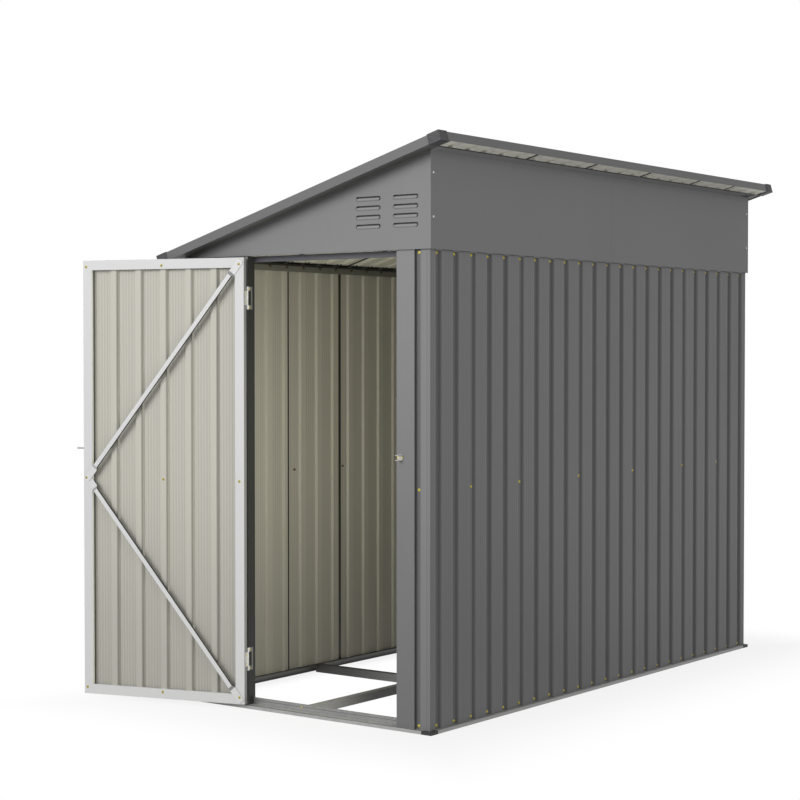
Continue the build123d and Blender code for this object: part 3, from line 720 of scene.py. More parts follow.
class SHED_OT_paint_sheets(bpy.types.Operator):
    """Paint the walls, gables, fascia, roof and door skin, grey outside and cream inside"""

    bl_idname = "shed.paint_sheets"
    bl_label = "Paint the sheets"

    def execute(self, context):
        colours, sizes = context.scene.shed_colours, context.scene.shed_sizes
        slack = 0.0004
        inner_side = wall_side - sizes.groove_depth - 2 * sizes.sheet_gauge - slack
        inner_end = -wall_front - sizes.groove_depth - 2 * sizes.sheet_gauge - slack
        first_side = wall_front + sizes.groove_margin
        first_end = -wall_side + sizes.groove_margin
        grooves, back = side_grooves(sizes), end_grooves(sizes)

        def wall_weather(xyz, normal):
            side = (abs(xyz[0]) > inner_side) * (xyz[0].sign() * normal[0] > 0.2)
            end = (abs(xyz[1]) > inner_end) * (xyz[1].sign() * normal[1] > 0.2)
            return side.most(end)

        def wall_run(xyz):
            """Run along a wall from its first groove."""
            on_side = abs(xyz[0]) > inner_side
            return on_side * (xyz[1] - first_side) + (1 - on_side) * (xyz[0] - first_end)

        def groove_shade(xyz):
            """Painted shade in the grooves, deepest on the front where the corner panel meets the right
            jamb.
            """
            pan, slope = 0.002, (0.0005, 0.006)
            jamb_edge, jamb_clear = wall_side - 0.062, wall_side - 0.03
            pan_side, pan_end = abs(xyz[0]) > wall_side - pan, abs(xyz[1]) > -wall_front - pan
            side = (wall_side - abs(xyz[0])).ramp(*slope) * (abs(xyz[0]) > inner_side) * (1 - pan_end)
            end = (-wall_front - abs(xyz[1])).ramp(*slope) * (abs(xyz[1]) > inner_end) * (1 - pan_side)
            front = (xyz[1] < -inner_end) * (xyz[0] > 0.0)
            # Painted shade across the groove beside the right jamb, dark at the jamb and lighter away from
            # it.
            beside_jamb = front * (1 - xyz[0].ramp(jamb_edge, jamb_clear)) * 1.5
            return side.most(end * (1 - front)).most(beside_jamb)

        def wall_lines(xyz, weather):
            """Dark joint lines at the laps inside, painted as the shadow of the lap edges; painted shade
            along the fold of the corner panels outside; and a painted contact shadow under gable and
            fascia.
            """
            high_half, low_half, back_half = 0.005, 0.0075, 0.0022
            fold_in, fold_half, contact_shadow_height = 0.0135, 0.0007, 0.0018
            on_side, high = abs(xyz[0]) > inner_side, xyz[0] > 0.0
            inner = 1 - weather
            laps = high * stripes(xyz[1], grooves[list(high_seams)], high_half)
            laps = laps + (1 - high) * stripes(xyz[1], grooves[list(low_seams)] + low_lap_edges, low_half)
            laps = on_side * laps + (1 - on_side) * stripes(xyz[0], back[list(back_seams)], back_half)
            fold = (1 - on_side) * stripes(abs(xyz[0]), (wall_side - fold_in,), fold_half)
            contact_shadow = xyz[2] > wall_head - contact_shadow_height
            return (laps * inner * 0.97).most(fold * weather * 0.4).most(contact_shadow * weather * 0.6)

        def slope_highlight(xyz, normal):
            """Painted highlight on the slopes inside the low wall that face the doorway."""
            wall_reach = 0.02
            low_wall = xyz[0] < wall_reach - wall_side
            return low_wall * (normal[1] < -0.5) * 0.36

        def upper_weather(xyz, normal):
            return (normal[0] > 0.5).most(xyz[1].sign() * normal[1] > 0.15).most(normal[2] < -0.5)

        # The pressed-in louvre troughs, which get painted light, and painted shade at their ends.
        def louvre_troughs(xyz):
            pressed = (0 - gable_low.y - abs(xyz[1])) > louvre_press
            return pressed * (xyz[0] < gable_high.x)

        def upper_lines(xyz, weather):
            """The fascia's joint; painted shade on the fascia's top and on the gable under the eaves; and
            painted shade at the ends and the lower rims of the louvres.
            """
            joint_place, joint_half = 0.0074, 0.0009
            fascia_shade, gable_shade = 0.03, 0.06
            end_half, rim_drop, rim_half = 0.0062, 0.0106, 0.0008
            joint = stripes(xyz[1], (joint_place,), joint_half) * (xyz[0] > wall_side) * 0.3
            below = under_roof(xyz[0]) - xyz[2]
            on_gable = xyz[0] < gable_high.x
            # Painted shade on the fascia's top, under the roof.
            shaded = (1 - on_gable) * (1 - below.ramp(0.0, fascia_shade)) * 0.16
            # Painted shade on the gable under the eaves.
            eave = (1 - below.ramp(0.0, gable_shade)) * 0.4
            rows = gable_high.z - louvre_top - louvre_pitch * np.arange(louvre_rows)
            columns = np.array(louvre_columns)
            ends = columns + louvre_half + 0.0005
            # Painted shade at the ends of the louvre troughs and along the louvres' lower rims.
            end = stripes(xyz[0], ends, end_half) * louvre_troughs(xyz) * 0.85
            rim = stripes(xyz[2], rows - rim_drop, rim_half) * stripes(xyz[0], columns, louvre_half) * 0.4
            return weather * joint.most(shaded).most(on_gable * eave.most(end).most(rim))

        def roof_weather(xyz, normal):
            return normal[2] > 0.0

        def roof_run(xyz):
            return xyz[1] - first_side

        def roof_lines(xyz, weather):
            """Dark lines at the laps, painted as their shadow; one faint pair of lines; and painted shade
            on the overhangs at both ends and on the strip over the low wall.
            """
            pair, pair_half = (grooves[2] - 0.024, grooves[2] + 0.03), 0.0022
            rib_hollow, strip, hollow_less = 0.004, 0.03, 0.016
            laps = stripes(xyz[1], roof_laps(sizes), sizes.lap_shadow)
            faint = stripes(xyz[1], pair, pair_half)
            # Painted shade on the underside over both overhangs and along the strip over the low wall.
            ends = abs(xyz[1]) > -gable_face
            hollow = (xyz[2] - under_roof(xyz[0])) > rib_hollow
            eave = xyz[0] < -wall_side + strip - hollow * hollow_less
            return (1 - weather) * (laps * 0.97).most(faint * 0.7).most(ends * 0.9).most(eave * 0.93)

        def leaf_weather(xyz, normal):
            return normal[0] * float(leaf_inward[0]) + normal[1] * float(leaf_inward[1]) < 0.0

        def leaf_run(xyz):
            """Run along the door from its first groove."""
            first_groove = 0.123
            start = float(np.dot(hinge_place[:2], leaf_along[:2])) + first_groove
            return xyz[0] * float(leaf_along[0]) + xyz[1] * float(leaf_along[1]) - start

        def leaf_lines(xyz, weather):
            """Painted shade along the side of each groove inside the door."""
            groove_side, half = 0.89, 0.03
            phase = (leaf_run(xyz) / sizes.groove_pitch).fraction()
            return (1 - weather) * stripes(phase, (groove_side,), half) * 0.46

        walls = sheet_finish("wall sheet paint", colours, sizes, wall_weather, wall_run, groove_shade,
                             wall_lines, painted_highlight=slope_highlight)
        dress([n for n in nodes if n.startswith("corner_panel") or "wall_" in n], walls)
        # Painted shade on the jambs' sides turned away from the front, near-black at the left, and towards
        # the foot.
        jamb_edge_shades = {"left": tuple(colours.reveal_shade), "right": shade(colours.outside_grey, 0.6)[:3]}
        for side, edge in jamb_edge_shades.items():
            dress([side + "_jamb"], faced_paint(
                side + " jamb paint", colours.outside_grey, edge, (0.0, -1.0, 0.0), 0.48, painted_shade=0.52))
        upper = sheet_finish("gable and fascia paint", colours, sizes, upper_weather, lines=upper_lines,
                             painted_light=louvre_troughs)
        dress(["front_gable", "back_gable", "high_fascia"], upper)
        roof = sheet_finish("roof sheet paint", colours, sizes, roof_weather, roof_run, lines=roof_lines,
                            inner=colours.roof_lit_cream)
        dress(["roof_outer_panels", "roof_inner_panels"], roof)
        leaf = sheet_finish("door sheet paint", colours, sizes, leaf_weather, leaf_run, lines=leaf_lines,
                            inner=shade(colours.inside_cream, 0.96)[:3])
        dress(["door_skin"], leaf)
        return {"FINISHED"}


class SHED_OT_paint_trims(bpy.types.Operator):
    """Paint the roof trims and mould the corner caps and feet"""

    bl_idname = "shed.paint_trims"
    bl_label = "Paint the trims, caps and feet"

    def execute(self, context):
        colours, sizes = context.scene.shed_colours, context.scene.shed_sizes
        first_rib = float(side_grooves(sizes)[0])

        def lip_bars(xyz):
            """Painted shade of the roof's ribs and painted shadow of its laps, carried on over the lip of
            the high trim.
            """
            rib_half = 0.16
            phase = ((xyz[1] - first_rib) / sizes.groove_pitch + 0.5).fraction()
            ribs = stripes(phase, (0.5,), rib_half) * 0.14
            return ribs.most(stripes(xyz[1], roof_laps(sizes), sizes.lap_shadow) * 0.97)

        dress([n for n in nodes if n.startswith("roof_") and n.endswith("_trim")],
              plain_paint("roof trim paint", colours.trim_grey, 0.5))
        # The high trim's lip under the roof takes the roof's cream with its painted light.
        dress(["roof_high_trim"], faced_paint(
            "high trim paint", colours.trim_grey, tuple(colours.roof_lit_cream), (0.0, 0.0, 1.0), 0.5,
            -0.9, -0.6, reach=-gable_face, bars=lip_bars))
        # Painted shade: near-black on the back trim's inner and lower faces, with little shine.
        dress(["roof_back_trim"], faced_paint(
            "back trim paint", colours.trim_grey, shade(colours.trim_grey, 0.2)[:3], (0.0, 1.0, 0.5), 0.6,
            -0.5, -0.2, gloss=0.06))
        dress(["roof_corner_caps"], moulded_plastic("cap plastic", colours.cap_grey))
        dress(["base_corner_feet"], moulded_plastic("foot plastic", colours.foot_black))
        return {"FINISHED"}


class SHED_OT_coat_frame(bpy.types.Operator):
    """Coat the base rails, joists, wall rails and the door's frame"""

    bl_idname = "shed.coat_frame"
    bl_label = "Coat the frame"

    def execute(self, context):
        colours, sizes = context.scene.shed_colours, context.scene.shed_sizes
        rail_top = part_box("base_left_rail")[1].z
        joist_side, joist_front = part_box("floor_centre_joist")[1].x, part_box("floor_centre_joist")[0].y
        cross_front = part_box("floor_cross_joists")[0].y
        slack, edge = 0.001, 0.0016

        def frame_shade(xyz, normal):
            """Painted shade on the low wall's rail, along both kinds of joist and on the front sill."""
            rail_reach, rail_foot = -wall_side + 0.03, (0.008, 0.026)
            # Painted shadow along the rails' tops, under the walls.
            under = xyz[2] > rail_top - edge
            on_rail = xyz[0] < rail_reach
            left = on_rail * (normal[0] > 0.5) * (0.5 + 0.46 * (1 - xyz[2].ramp(*rail_foot)))
            left = left.most(on_rail * under * 0.9)
            joist_lip, dim_depth = 0.004, 0.4
            inside = xyz[1] > joist_front + joist_lip
            depth = xyz[1].ramp(joist_front, joist_front + dim_depth)
            on_centre = abs(xyz[0]) < joist_side + slack
            centre = on_centre * inside * depth * (0.45 + 0.4 * (normal[0] > 0.5))
            between_rails = abs(xyz[0]) < wall_side - 0.012
            on_cross = (abs(xyz[1] - cross_front - joist_side) < joist_side + slack) * between_rails
            cross = on_cross * (0.75 - 0.5 * xyz[0].ramp(-wall_side, 0.2)).most(under * 0.8)
            # Painted shade along the sill's step, on the ledge and on the sill's riser.
            sill_line, sill_half = 0.0246, 0.0011
            on_sill = xyz[1] < joist_front + 0.002
            sill = on_sill * stripes(xyz[2], (sill_line,), sill_half) * 0.65
            ledge = (xyz[1] < wall_front - 0.004) * (normal[2] > 0.5) * 0.6
            riser = on_sill * (xyz[1] > wall_front + 0.02) * (normal[1] < -0.5) * 0.25
            return left.most(centre).most(cross).most(sill).most(ledge).most(riser)

        zinc = zinc_coat("zinc coat", colours.zinc_grey, sizes.spangle, frame_shade)
        dress([n for n in nodes if n.startswith(("base_", "floor_")) and not n.endswith("feet")], zinc)
        # Painted shadow along the top 5 mm of the wall rails, where they meet the roof.
        dress(["back_top_rail", "right_top_rail", "left_top_rail"],
              plain_paint("wall rail painted shade", colours.rail_shade_grey, 0.5, shadow_above=wall_head - 0.005))
        # The header's paint with its painted shade.
        dress(["door_header"], plain_paint("header paint and shade", colours.header_shade_grey, 0.5))
        pale = plain_paint("door frame coat", colours.frame_white, 0.45, spread=0.03)
        dress([n for n in nodes if n.startswith("door_") and n.split("_")[-1] in ("stile", "rail")], pale)
        # Painted light: a pale edge on the free stile's inner side.
        dress(["door_free_stile"], faced_paint(
            "free stile coat", colours.frame_white, (0.95, 0.94, 0.84), leaf_along, 0.45, -0.9, -0.5))
        # Painted shade: a dark edge on the hinge stile's side.
        dress(["door_hinge_stile"], faced_paint(
            "hinge stile coat", colours.frame_white, (0.26, 0.26, 0.26), leaf_along, 0.45, -0.9, -0.5))
        # Painted light on the braces' faces, a little paler than the frame, and near-black painted shade on
        # their sides and necks.
        brace_lit_face = [1.04 * c for c in colours.frame_white]
        dress(["door_upper_brace", "door_lower_brace"], faced_paint(
            "brace coat", brace_lit_face, (0.006, 0.006, 0.006), leaf_inward, 0.42, 0.6, 1.0))
        return {"FINISHED"}


class SHED_OT_plate_fittings(bpy.types.Operator):
    """Plate the hinges and the latch"""

    bl_idname = "shed.plate_fittings"
    bl_label = "Plate the hinges and latch"

    def execute(self, context):
        colours = context.scene.shed_colours
        knuckle_back = wall_front + 0.0045
        dress(["door_hinges"], plated_steel("bright zinc plate", colours.hinge_zinc, 0.3, 0.36))
        # Painted shade on the jamb leaf behind the knuckle.
        dress(["jamb_hinges"], plated_steel("hinge plate", colours.hinge_zinc, 0.3, 0.36,
                                            dull=knuckle_back))
        dress(["latch_staple"], plated_steel("staple plate", shade(colours.hinge_zinc, 0.62)[:3], 0.3, 0.4))
        dress(["door_hasp"], plated_steel("hasp plate", colours.hasp_zinc, 0.4, 0.42))
        return {"FINISHED"}


class SHED_OT_add_wall_screws(bpy.types.Operator):
    """Add the yellow screws of the walls: a row at the top and foot and one at half height on the seams"""

    bl_idname = "shed.add_wall_screws"
    bl_label = "Add the wall screws"

    def execute(self, context):
        colours, sizes = context.scene.shed_colours, context.scene.shed_sizes
        high, low = wall_head - sizes.top_row_drop, wall_foot + sizes.foot_row_rise
        floor_side, floor_end = wall_side - sizes.groove_depth, -wall_front - sizes.groove_depth
        grooves, back = side_grooves(sizes), end_grooves(sizes)

        def rows(count, seams):
            """Groove, height and lift of each screw: two full rows, and one at half height on the seams."""
            index = np.concatenate((np.arange(count), np.arange(count), seams))
            rise = np.repeat((high, low, wall_middle), (count, count, len(seams)))
            return index, rise, np.isin(index, seams) * sizes.sheet_gauge

        places, normals = [], []
        for side, seams in ((1, high_seams), (-1, low_seams)):
            index, rise, lift = rows(len(grooves), seams)
            run = grooves[index]
            if side < 0:
                run[-len(seams):] += sizes.pan_step
                lift[-len(seams):] = sizes.groove_depth
            places.append(np.stack((side * (floor_side + lift), run, rise), -1))
            normals.append(np.broadcast_to((side, 0.0, 0.0), places[-1].shape))
        index, rise, lift = rows(len(back), back_seams)
        places.append(np.stack((back[index], floor_end + lift, rise), -1))
        normals.append(np.broadcast_to((0.0, 1.0, 0.0), places[-1].shape))
        front_grooves = (wall_side - 0.051, -wall_side + 0.048, -wall_side + 0.148)
        front_run = np.repeat(front_grooves, 3)
        front_rise = np.tile((high, wall_middle, low), 3)
        places.append(np.stack((front_run, np.full(len(front_run), -floor_end), front_rise), -1))
        normals.append(np.broadcast_to((0.0, -1.0, 0.0), places[-1].shape))
        yellow = plated_steel("yellow zinc plate", colours.screw_yellow, 0.3, 0.3, True, (0.56, 0.50, 0.05))
        lay_screws("wall_screws", np.concatenate(places), np.concatenate(normals), sizes.screw_radius,
                   sizes.screw_head, yellow, "shed")
        return {"FINISHED"}


class SHED_OT_add_door_screws(bpy.types.Operator):
    """Add the yellow screws on the inner side of the door, in three rows of three"""

    bl_idname = "shed.add_door_screws"
    bl_label = "Add the door screws"

    def execute(self, context):
        colours, sizes = context.scene.shed_colours, context.scene.shed_sizes
        yellow = plated_steel("dull yellow plate", shade(colours.screw_yellow, 0.5)[:3], 0.3, 0.4, True,
                              (0.2, 0.17, 0.03))
        columns, rows = (0.0208, 0.3255, 0.632), (1.564, 0.802, 0.0405)
        along, rise = np.tile(columns, 3), np.repeat(rows, 3)
        # The middle screw sits on the skin, those at the braces' ends on one flattened end or on two.
        depth = np.full(9, frame_depth)
        depth[4] = skin_face + sizes.groove_depth + sizes.sheet_gauge
        depth[[0, 6]] += brace_tab
        depth[5] += 2 * brace_tab
        lay_screws("door_screws", on_leaf(along, depth, rise), leaf_inward, sizes.screw_radius,
                   sizes.screw_head * 0.55, yellow, "door")
        return {"FINISHED"}


class SHED_OT_add_fitting_screws(bpy.types.Operator):
    """Add the screws of the hinges, the latch, the fascia and the front sill"""

    bl_idname = "shed.add_fitting_screws"
    bl_label = "Add the screws of the fittings"

    def execute(self, context):
        colours, sizes = context.scene.shed_colours, context.scene.shed_sizes
        yellow = bpy.data.materials["yellow zinc plate"]
        silver = plated_steel("bright screw steel", colours.screw_silver, 0.5, 0.28, True)
        small, low = sizes.screw_radius * 0.66, sizes.screw_head * 0.5
        jamb_in, jamb_step = 0.007, 0.0325
        jamb = [(left_reveal + hinge_leaf, wall_front + jamb_in, middle + step)
                for middle in hinge_middles for step in (-jamb_step, jamb_step)]
        lay_screws("jamb_hinge_screws", jamb, (1.0, 0.0, 0.0), small, low, yellow, "shed")
        leaf_gap, leaf_in, leaf_step = 0.002, 0.008, 0.017
        door = [on_leaf(leaf_gap - hinge_leaf, skin_face + leaf_in, middle + step)
                for middle in hinge_middles for step in (-leaf_step, leaf_step)]
        lay_screws("door_hinge_screws", door, -leaf_along, small, low, yellow, "door")
        latch_low, latch_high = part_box("latch_staple")
        middle = (latch_low + latch_high) / 2
        staple_plate, ear_step = 0.003, 0.0085
        latch = [(middle.x + step, wall_front - staple_plate, middle.z) for step in (-ear_step, ear_step)]
        lay_screws("latch_screws", latch, (0.0, -1.0, 0.0), small, low, yellow, "shed")
        hasp_columns, hasp_face, rivet_step = (0.589, 0.609), -0.001, 0.0066
        rivets = [on_leaf(along, hasp_face, middle.z + step)
                  for along in hasp_columns for step in (-rivet_step, rivet_step)]
        rivet_radius, rivet_head = 0.0023, 0.0011
        lay_screws("hasp_rivets", rivets, -leaf_inward, rivet_radius, rivet_head,
                   bpy.data.materials["hasp plate"], "door", rivet_dome)
        sill = [(-0.028, wall_front + 0.026, 0.0235)]
        lay_screws("sill_screw", sill, (0.0, -1.0, 0.0), small, low, yellow, "shed")
        edge, heights = -gable_face - 0.0155, (1.6975, 1.8415)
        fascia = [(fascia_face, y, z) for y in (-edge, edge) for z in heights]
        lay_screws("fascia_screws", fascia, (1.0, 0.0, 0.0), sizes.screw_radius * 0.8, sizes.screw_head,
                   silver, "shed")
        return {"FINISHED"}


class SHED_OT_add_roof_screws(bpy.types.Operator):
    """Add the screws with washers on the roof's seam ribs"""

    bl_idname = "shed.add_roof_screws"
    bl_label = "Add the roof screws"

    def execute(self, context):
        sizes = context.scene.shed_sizes
        ribs = side_grooves(sizes)[[1, *roof_seams, -2]]
        reach = wall_side - 0.02
        run = np.linspace(-reach, reach, 4)
        y, x = np.meshgrid(ribs, run, indexing="ij")
        foot = np.stack((x, y, under_roof(x)), -1).reshape(-1, 3)
        places = foot + roof_normal * (sizes.groove_depth + sizes.sheet_gauge)
        lay_screws("roof_screws", places, roof_normal, sizes.screw_radius * 1.3, sizes.screw_head,
                   bpy.data.materials["yellow zinc plate"], "shed")
        return {"FINISHED"}


class SHED_OT_add_screw_tips(bpy.types.Operator):
    """Add the points of the wall screws where they come through inside"""

    bl_idname = "shed.add_screw_tips"
    bl_label = "Add the screw points"

    def execute(self, context):
        colours, sizes = context.scene.shed_colours, context.scene.shed_sizes
        high = wall_head - sizes.top_row_drop
        inner_side = wall_side - sizes.groove_depth - sizes.sheet_gauge
        inner_end = -wall_front - sizes.groove_depth - sizes.sheet_gauge
        rail, tip_radius = 0.0012, 0.0052
        grooves, back = side_grooves(sizes), end_grooves(sizes)

        def row(*shares):
            """Places of one row: one of the three shares runs along it, the other two are fixed."""
            return np.stack(np.broadcast_arrays(*shares), -1)

        places, normals = [], []
        for side, seams in ((1, high_seams), (-1, low_seams)):
            step, deep = (0.0, 0.0) if side > 0 else (sizes.pan_step, sizes.groove_depth)
            top = row(side * (inner_side - rail), grooves[1:-1], high)
            half = row(side * (inner_side + deep), grooves[list(seams)] + step, wall_middle)
            places += [top, half]
            normals.append(np.broadcast_to((-side, 0.0, 0.0), (len(top) + len(half), 3)))
        top = row(back[1:-1], inner_end - rail, high)
        half = row(back[list(back_seams)], inner_end, wall_middle)
        places += [top, half]
        normals.append(np.broadcast_to((0.0, -1.0, 0.0), (len(top) + len(half), 3)))
        brown = plated_steel("screw point steel", colours.tip_brown, 0.4, 0.45)
        lay_screws("screw_points", np.concatenate(places), np.concatenate(normals), tip_radius,
                   sizes.tip_length, brown, "shed", drill_tip)
        return {"FINISHED"}


class SHED_OT_add_laps(bpy.types.Operator):
    """Add the laps of the sheets over their neighbours, along the seams of the walls"""

    bl_idname = "shed.add_laps"
    bl_label = "Add the laps"

    def execute(self, context):
        colours, sizes = context.scene.shed_colours, context.scene.shed_sizes
        half, gauge = sizes.lap_width / 2, sizes.sheet_gauge
        profile = ((0.0, -half), (gauge, -half + gauge), (gauge, half - gauge), (0.0, half))
        floor_side, floor_end = wall_side - sizes.groove_depth, -wall_front - sizes.groove_depth
        grooves, back = side_grooves(sizes), end_grooves(sizes)
        clear = 0.001
        low, high = wall_foot + clear, wall_head - sizes.lip_height - clear
        runs = [(side * floor_side, grooves[i], (side, 0, 0), (0, side, 0))
                for side, seams in ((1, high_seams), (-1, low_seams)) for i in seams]
        runs += [(back[i], floor_end, (0, 1, 0), (-1, 0, 0)) for i in back_seams]
        points, faces = uprights(profile, runs, low, high)
        paint = plain_paint("lap paint", [0.8 * c for c in colours.outside_grey], 0.46)
        lay_piece("sheet_laps", points, faces, paint, "shed")
        return {"FINISHED"}


class SHED_OT_add_top_lips(bpy.types.Operator):
    """Add the zinc lips that close the grooves at the tops of the walls"""

    bl_idname = "shed.add_top_lips"
    bl_label = "Add the top lips"

    def execute(self, context):
        sizes = context.scene.shed_sizes
        play, proud = 0.0002, 0.0004
        deep, mouth = sizes.groove_depth, sizes.groove_mouth / 2 - play
        floor = sizes.groove_floor / 2 - 2 * play
        profile = ((0.0, -floor), (deep + proud, -mouth), (deep + proud, mouth), (0.0, floor))
        floor_side, floor_end = wall_side - deep, -wall_front - deep
        low, high = wall_head - sizes.lip_height, wall_head - 0.0003
        runs = [(side * floor_side, y, (side, 0, 0), (0, side, 0))
                for side in (1, -1) for y in side_grooves(sizes)]
        runs += [(x, floor_end, (0, 1, 0), (-1, 0, 0)) for x in end_grooves(sizes)]
        points, faces = uprights(profile, runs, low, high)
        lay_piece("wall_top_lips", points, faces, bpy.data.materials["hasp plate"], "shed")
        return {"FINISHED"}


class SHED_OT_add_fascia_flange(bpy.types.Operator):
    """Add the top flange of the high fascia, folded outward under the roof"""

    bl_idname = "shed.add_fascia_flange"
    bl_label = "Add the fascia's flange"

    def execute(self, context):
        colours, sizes = context.scene.shed_colours, context.scene.shed_sizes
        gap, gauge = 0.0003, sizes.sheet_gauge
        wide = sizes.flange_width * math.hypot(1.0, roof_rise)
        profile = ((0.0, -gap), (wide, -gap), (wide, -gap - gauge), (0.0, -gap - gauge))
        x = fascia_face + gap
        z, end = under_roof(x), -gable_face
        slope = (roof_normal[2], 0.0, -roof_normal[0])
        points, faces = joined([carried(profile, ((x, -end, z), (x, end, z)), slope, roof_normal)])
        rim = z + sizes.flange_width * roof_rise - 0.0026
        dim_from, dim_full = end - 0.11, end - 0.03
        # Painted light: the flange is a paler grey than the fascia, to show brighter in the shade under the
        # roof.
        grey = shade(colours.outside_grey, 1.4)[:3]

        def flange_shade(xyz):
            """Painted shade: the dark rim, and the shade towards the back end."""
            return ((xyz[2] > rim) * 0.9).most(xyz[1].ramp(dim_from, dim_full) * 0.85)

        paint = faced_paint("flange paint", grey, grey, (0.0, 0.0, 1.0), 0.6, -0.9, -0.6, bars=flange_shade,
                            gloss=0.1)
        lay_piece("fascia_flange", points, faces, paint, "shed")
        return {"FINISHED"}


class SHED_OT_add_vent_screens(bpy.types.Operator):
    """Add the dark woven screens behind the louvres of both gables"""

    bl_idname = "shed.add_vent_screens"
    bl_label = "Add the vent screens"

    def execute(self, context):
        colours, sizes = context.scene.shed_colours, context.scene.shed_sizes
        middle = gable_high.z - louvre_top - louvre_pitch * (louvre_rows - 1) / 2
        parts = [self.screen(x, middle, side, sizes) for x in louvre_columns for side in (-1, 1)]
        points, faces = joined(parts)
        dark = moulded_plastic("screen plastic", colours.cap_grey)
        lay_piece("vent_screens", points, faces, dark, "shed")
        return {"FINISHED"}

    def screen(self, x, z, side, sizes, count=41):
        """Shallow tray: a woven wave over the width and height, whose rim bends to the gable's inner face.

        The depth is the stand-off times a smooth step of the distance from the rim, plus a product of two
        sines with five waves each.
        """
        half_width, half_height, rim, gauge = 0.058, 0.062, 0.006, 0.0005
        gap, stand_off, wave = 0.0002, 0.0078, 0.0004
        u, v = np.meshgrid(np.linspace(-1, 1, count), np.linspace(-1, 1, count), indexing="ij")
        edge = np.minimum((1 - np.abs(u)) * half_width, (1 - np.abs(v)) * half_height) / rim
        step = np.clip(edge, 0, 1)
        step = step * step * (3 - 2 * step)
        weave = wave * np.sin(u * math.pi * 10) * np.sin(v * math.pi * 10) * step
        depth = sizes.sheet_gauge + gap + stand_off * step + weave
        face = -gable_low.y
        layers = [np.stack((x + u * half_width, side * (face - depth - lift), z + v * half_height), -1)
                  for lift in (0.0, gauge)]
        points = np.concatenate([layer.reshape(-1, 3) for layer in layers])
        row, column = np.meshgrid(np.arange(count - 1), np.arange(count - 1), indexing="ij")
        corner = row * count + column
        sheet = np.stack((corner, corner + count, corner + count + 1, corner + 1), -1).reshape(-1, 4)
        ahead, back = np.arange(count - 1), np.arange(count - 1, 0, -1)
        loop = np.concatenate((ahead * count, (count - 1) * count + ahead, back * count + count - 1, back))
        after = np.roll(loop, -1)
        band = np.stack((loop, loop + count * count, after + count * count, after), -1)
        faces = np.concatenate((sheet, sheet[:, ::-1] + count * count, band))
        if side > 0:
            faces = faces[:, ::-1]
        return points, faces


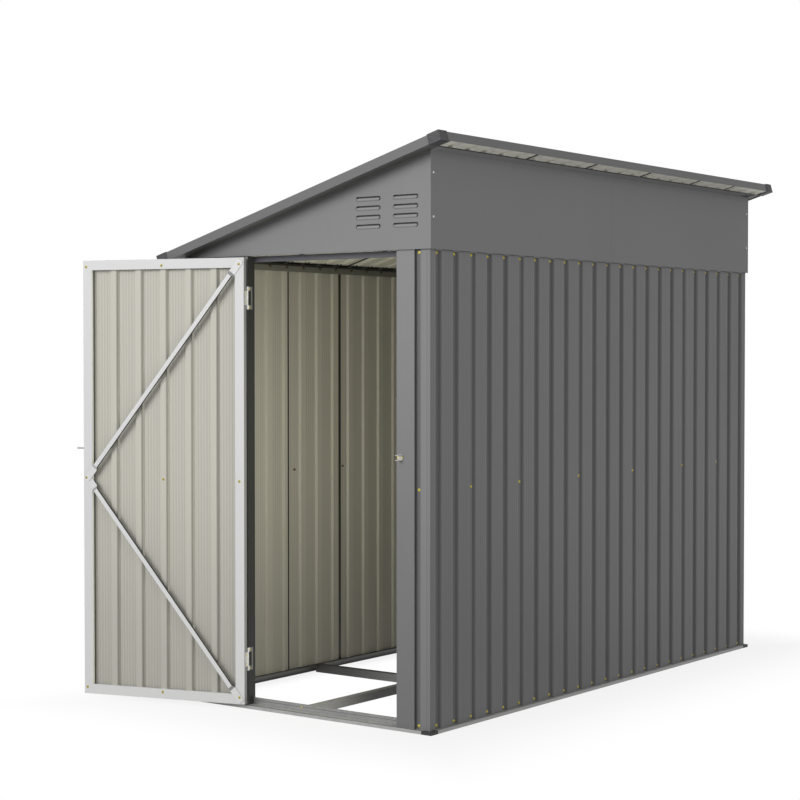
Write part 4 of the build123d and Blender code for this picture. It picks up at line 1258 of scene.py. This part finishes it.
class SHED_OT_set_stage(bpy.types.Operator):
    """Lay the floor, hang the lamps, light the sky and stand the camera"""

    bl_idname = "shed.set_stage"
    bl_label = "Set the stage"

    def execute(self, context):
        stage = context.scene.shed_stage
        self.lay_floor(stage)
        self.light_sky(context.scene, stage)
        middle = (0.0, 0.0, 0.9)
        self.hang_lamp("key lamp", stage.key_place, middle, stage.key_power, stage.key_size, stage.key_tall)
        self.hang_lamp("side lamp", stage.side_place, middle, stage.side_power, stage.side_size,
                       stage.side_size)
        inner = np.array(stage.inner_place)
        warm = self.hang_lamp("inner lamp", inner, inner - (1.0, 0.0, 0.0), stage.inner_power,
                              stage.inner_size, stage.inner_tall)
        warm.color = stage.inner_colour
        self.stand_camera(context.scene, stage)
        context.scene.view_settings.view_transform = "Standard"
        return {"FINISHED"}

    def seen(self, start):
        """1 for rays of the camera, of gloss and of glass."""
        node = start.make("ShaderNodeLightPath").socket.node
        names = ("Is Camera Ray", "Is Glossy Ray", "Is Transmission Ray")
        camera, gloss, glass = [Wire(start.tree, node.outputs[name]) for name in names]
        return camera.most(gloss).most(glass)

    def lay_floor(self, stage):
        """Flat square grid; plain white away from the shed, and near it a floor that keeps the shadow."""
        reach = np.linspace(-40, 40, 3)
        x, y = np.meshgrid(reach, reach, indexing="ij")
        points = np.stack((x, y, np.zeros_like(x)), -1).reshape(-1, 3)
        mesh = bpy.data.meshes.new("floor")
        mesh.from_pydata(points.tolist(), [], [(0, 3, 4, 1), (1, 4, 5, 2), (3, 6, 7, 4), (4, 7, 8, 5)])
        material, start = new_finish("floor white")
        xyz = axes(start, "Object")[1]
        away = (abs(xyz[0]) - wall_side).most(abs(xyz[1]) + wall_front)
        clear = away.ramp(0.02, 0.6).most((0 - away).ramp(0.0, 0.12))
        glow = self.seen(start) * (stage.floor_glow + (1 - stage.floor_glow) * clear)
        dull = start.make("ShaderNodeBsdfDiffuse", {}, {"Color": tuple(stage.floor_white) + (1.0,)})
        white = start.make("ShaderNodeEmission", {}, {"Strength": 1.0})
        mixed = start.make("ShaderNodeMixShader", {}, {0: glow, 1: dull, 2: white})
        start.make("ShaderNodeOutputMaterial", {}, {"Surface": mixed})
        mesh.materials.append(material)
        floor = bpy.data.objects.new("floor", mesh)
        bpy.context.scene.collection.objects.link(floor)

    def light_sky(self, scene, stage):
        """Even white sky that shows as plain white."""
        world = bpy.data.worlds.new("white sky")
        world.use_nodes = True
        world.node_tree.nodes.clear()
        start = Wire(world.node_tree)
        strength = stage.sky_strength + (1 - stage.sky_strength) * self.seen(start)
        sky = start.make("ShaderNodeBackground", {}, {"Color": (1, 1, 1, 1), "Strength": strength})
        start.make("ShaderNodeOutputWorld", {}, {"Surface": sky})
        scene.world = world

    def hang_lamp(self, name, place, target, power, width, height):
        """Flat lamp that faces a target and doesn't show itself."""
        lamp = bpy.data.lights.new(name, "AREA")
        lamp.shape = "RECTANGLE"
        lamp.energy, lamp.size, lamp.size_y = power, width, height
        hung = bpy.data.objects.new(name, lamp)
        hung.location = place
        hung.visible_camera = False
        aim = np.array(target) - np.array(place)
        hung.rotation_euler = (math.acos(-aim[2] / np.linalg.norm(aim)), 0.0, math.atan2(-aim[0], aim[1]))
        bpy.context.scene.collection.objects.link(hung)
        return lamp

    def stand_camera(self, scene, stage):
        """Camera at the photograph's viewing angle."""
        camera = bpy.data.cameras.new("camera")
        camera.lens, camera.sensor_width = stage.camera_lens, 36.0
        standing = bpy.data.objects.new("camera", camera)
        standing.location, standing.rotation_euler = stage.camera_place, stage.camera_turn
        scene.collection.objects.link(standing)
        scene.camera = standing


steps = (SHED_OT_paint_sheets, SHED_OT_paint_trims, SHED_OT_coat_frame, SHED_OT_plate_fittings,
         SHED_OT_add_wall_screws, SHED_OT_add_door_screws, SHED_OT_add_fitting_screws,
         SHED_OT_add_roof_screws, SHED_OT_add_screw_tips, SHED_OT_add_laps, SHED_OT_add_top_lips,
         SHED_OT_add_fascia_flange, SHED_OT_add_vent_screens, SHED_OT_set_stage)


class SHED_PT_looks(bpy.types.Panel):
    """Lists the steps that dress the shed"""

    bl_idname = "SHED_PT_looks"
    bl_label = "Shed"
    bl_space_type = "VIEW_3D"
    bl_region_type = "UI"
    bl_category = "Shed"

    def draw(self, context):
        for step in steps:
            self.layout.operator(step.bl_idname)
        for group in (context.scene.shed_colours, context.scene.shed_sizes, context.scene.shed_stage):
            box = self.layout.box()
            for name in group.__annotations__:
                box.prop(group, name)


groups = {"shed_colours": ShedColours, "shed_sizes": ShedSizes, "shed_stage": ShedStage}


def register():
    for kind in (*groups.values(), *steps, SHED_PT_looks):
        bpy.utils.register_class(kind)
    for name, kind in groups.items():
        setattr(bpy.types.Scene, name, PointerProperty(type=kind))


def unregister():
    for name in groups:
        delattr(bpy.types.Scene, name)
    for kind in (SHED_PT_looks, *reversed(steps), *reversed(groups.values())):
        bpy.utils.unregister_class(kind)


def main():
    register()
    for step in steps:
        family, action = step.bl_idname.split(".")
        getattr(getattr(bpy.ops, family), action)()
    bpy.context.view_layer.update()


if __name__ == "__main__":
    main()
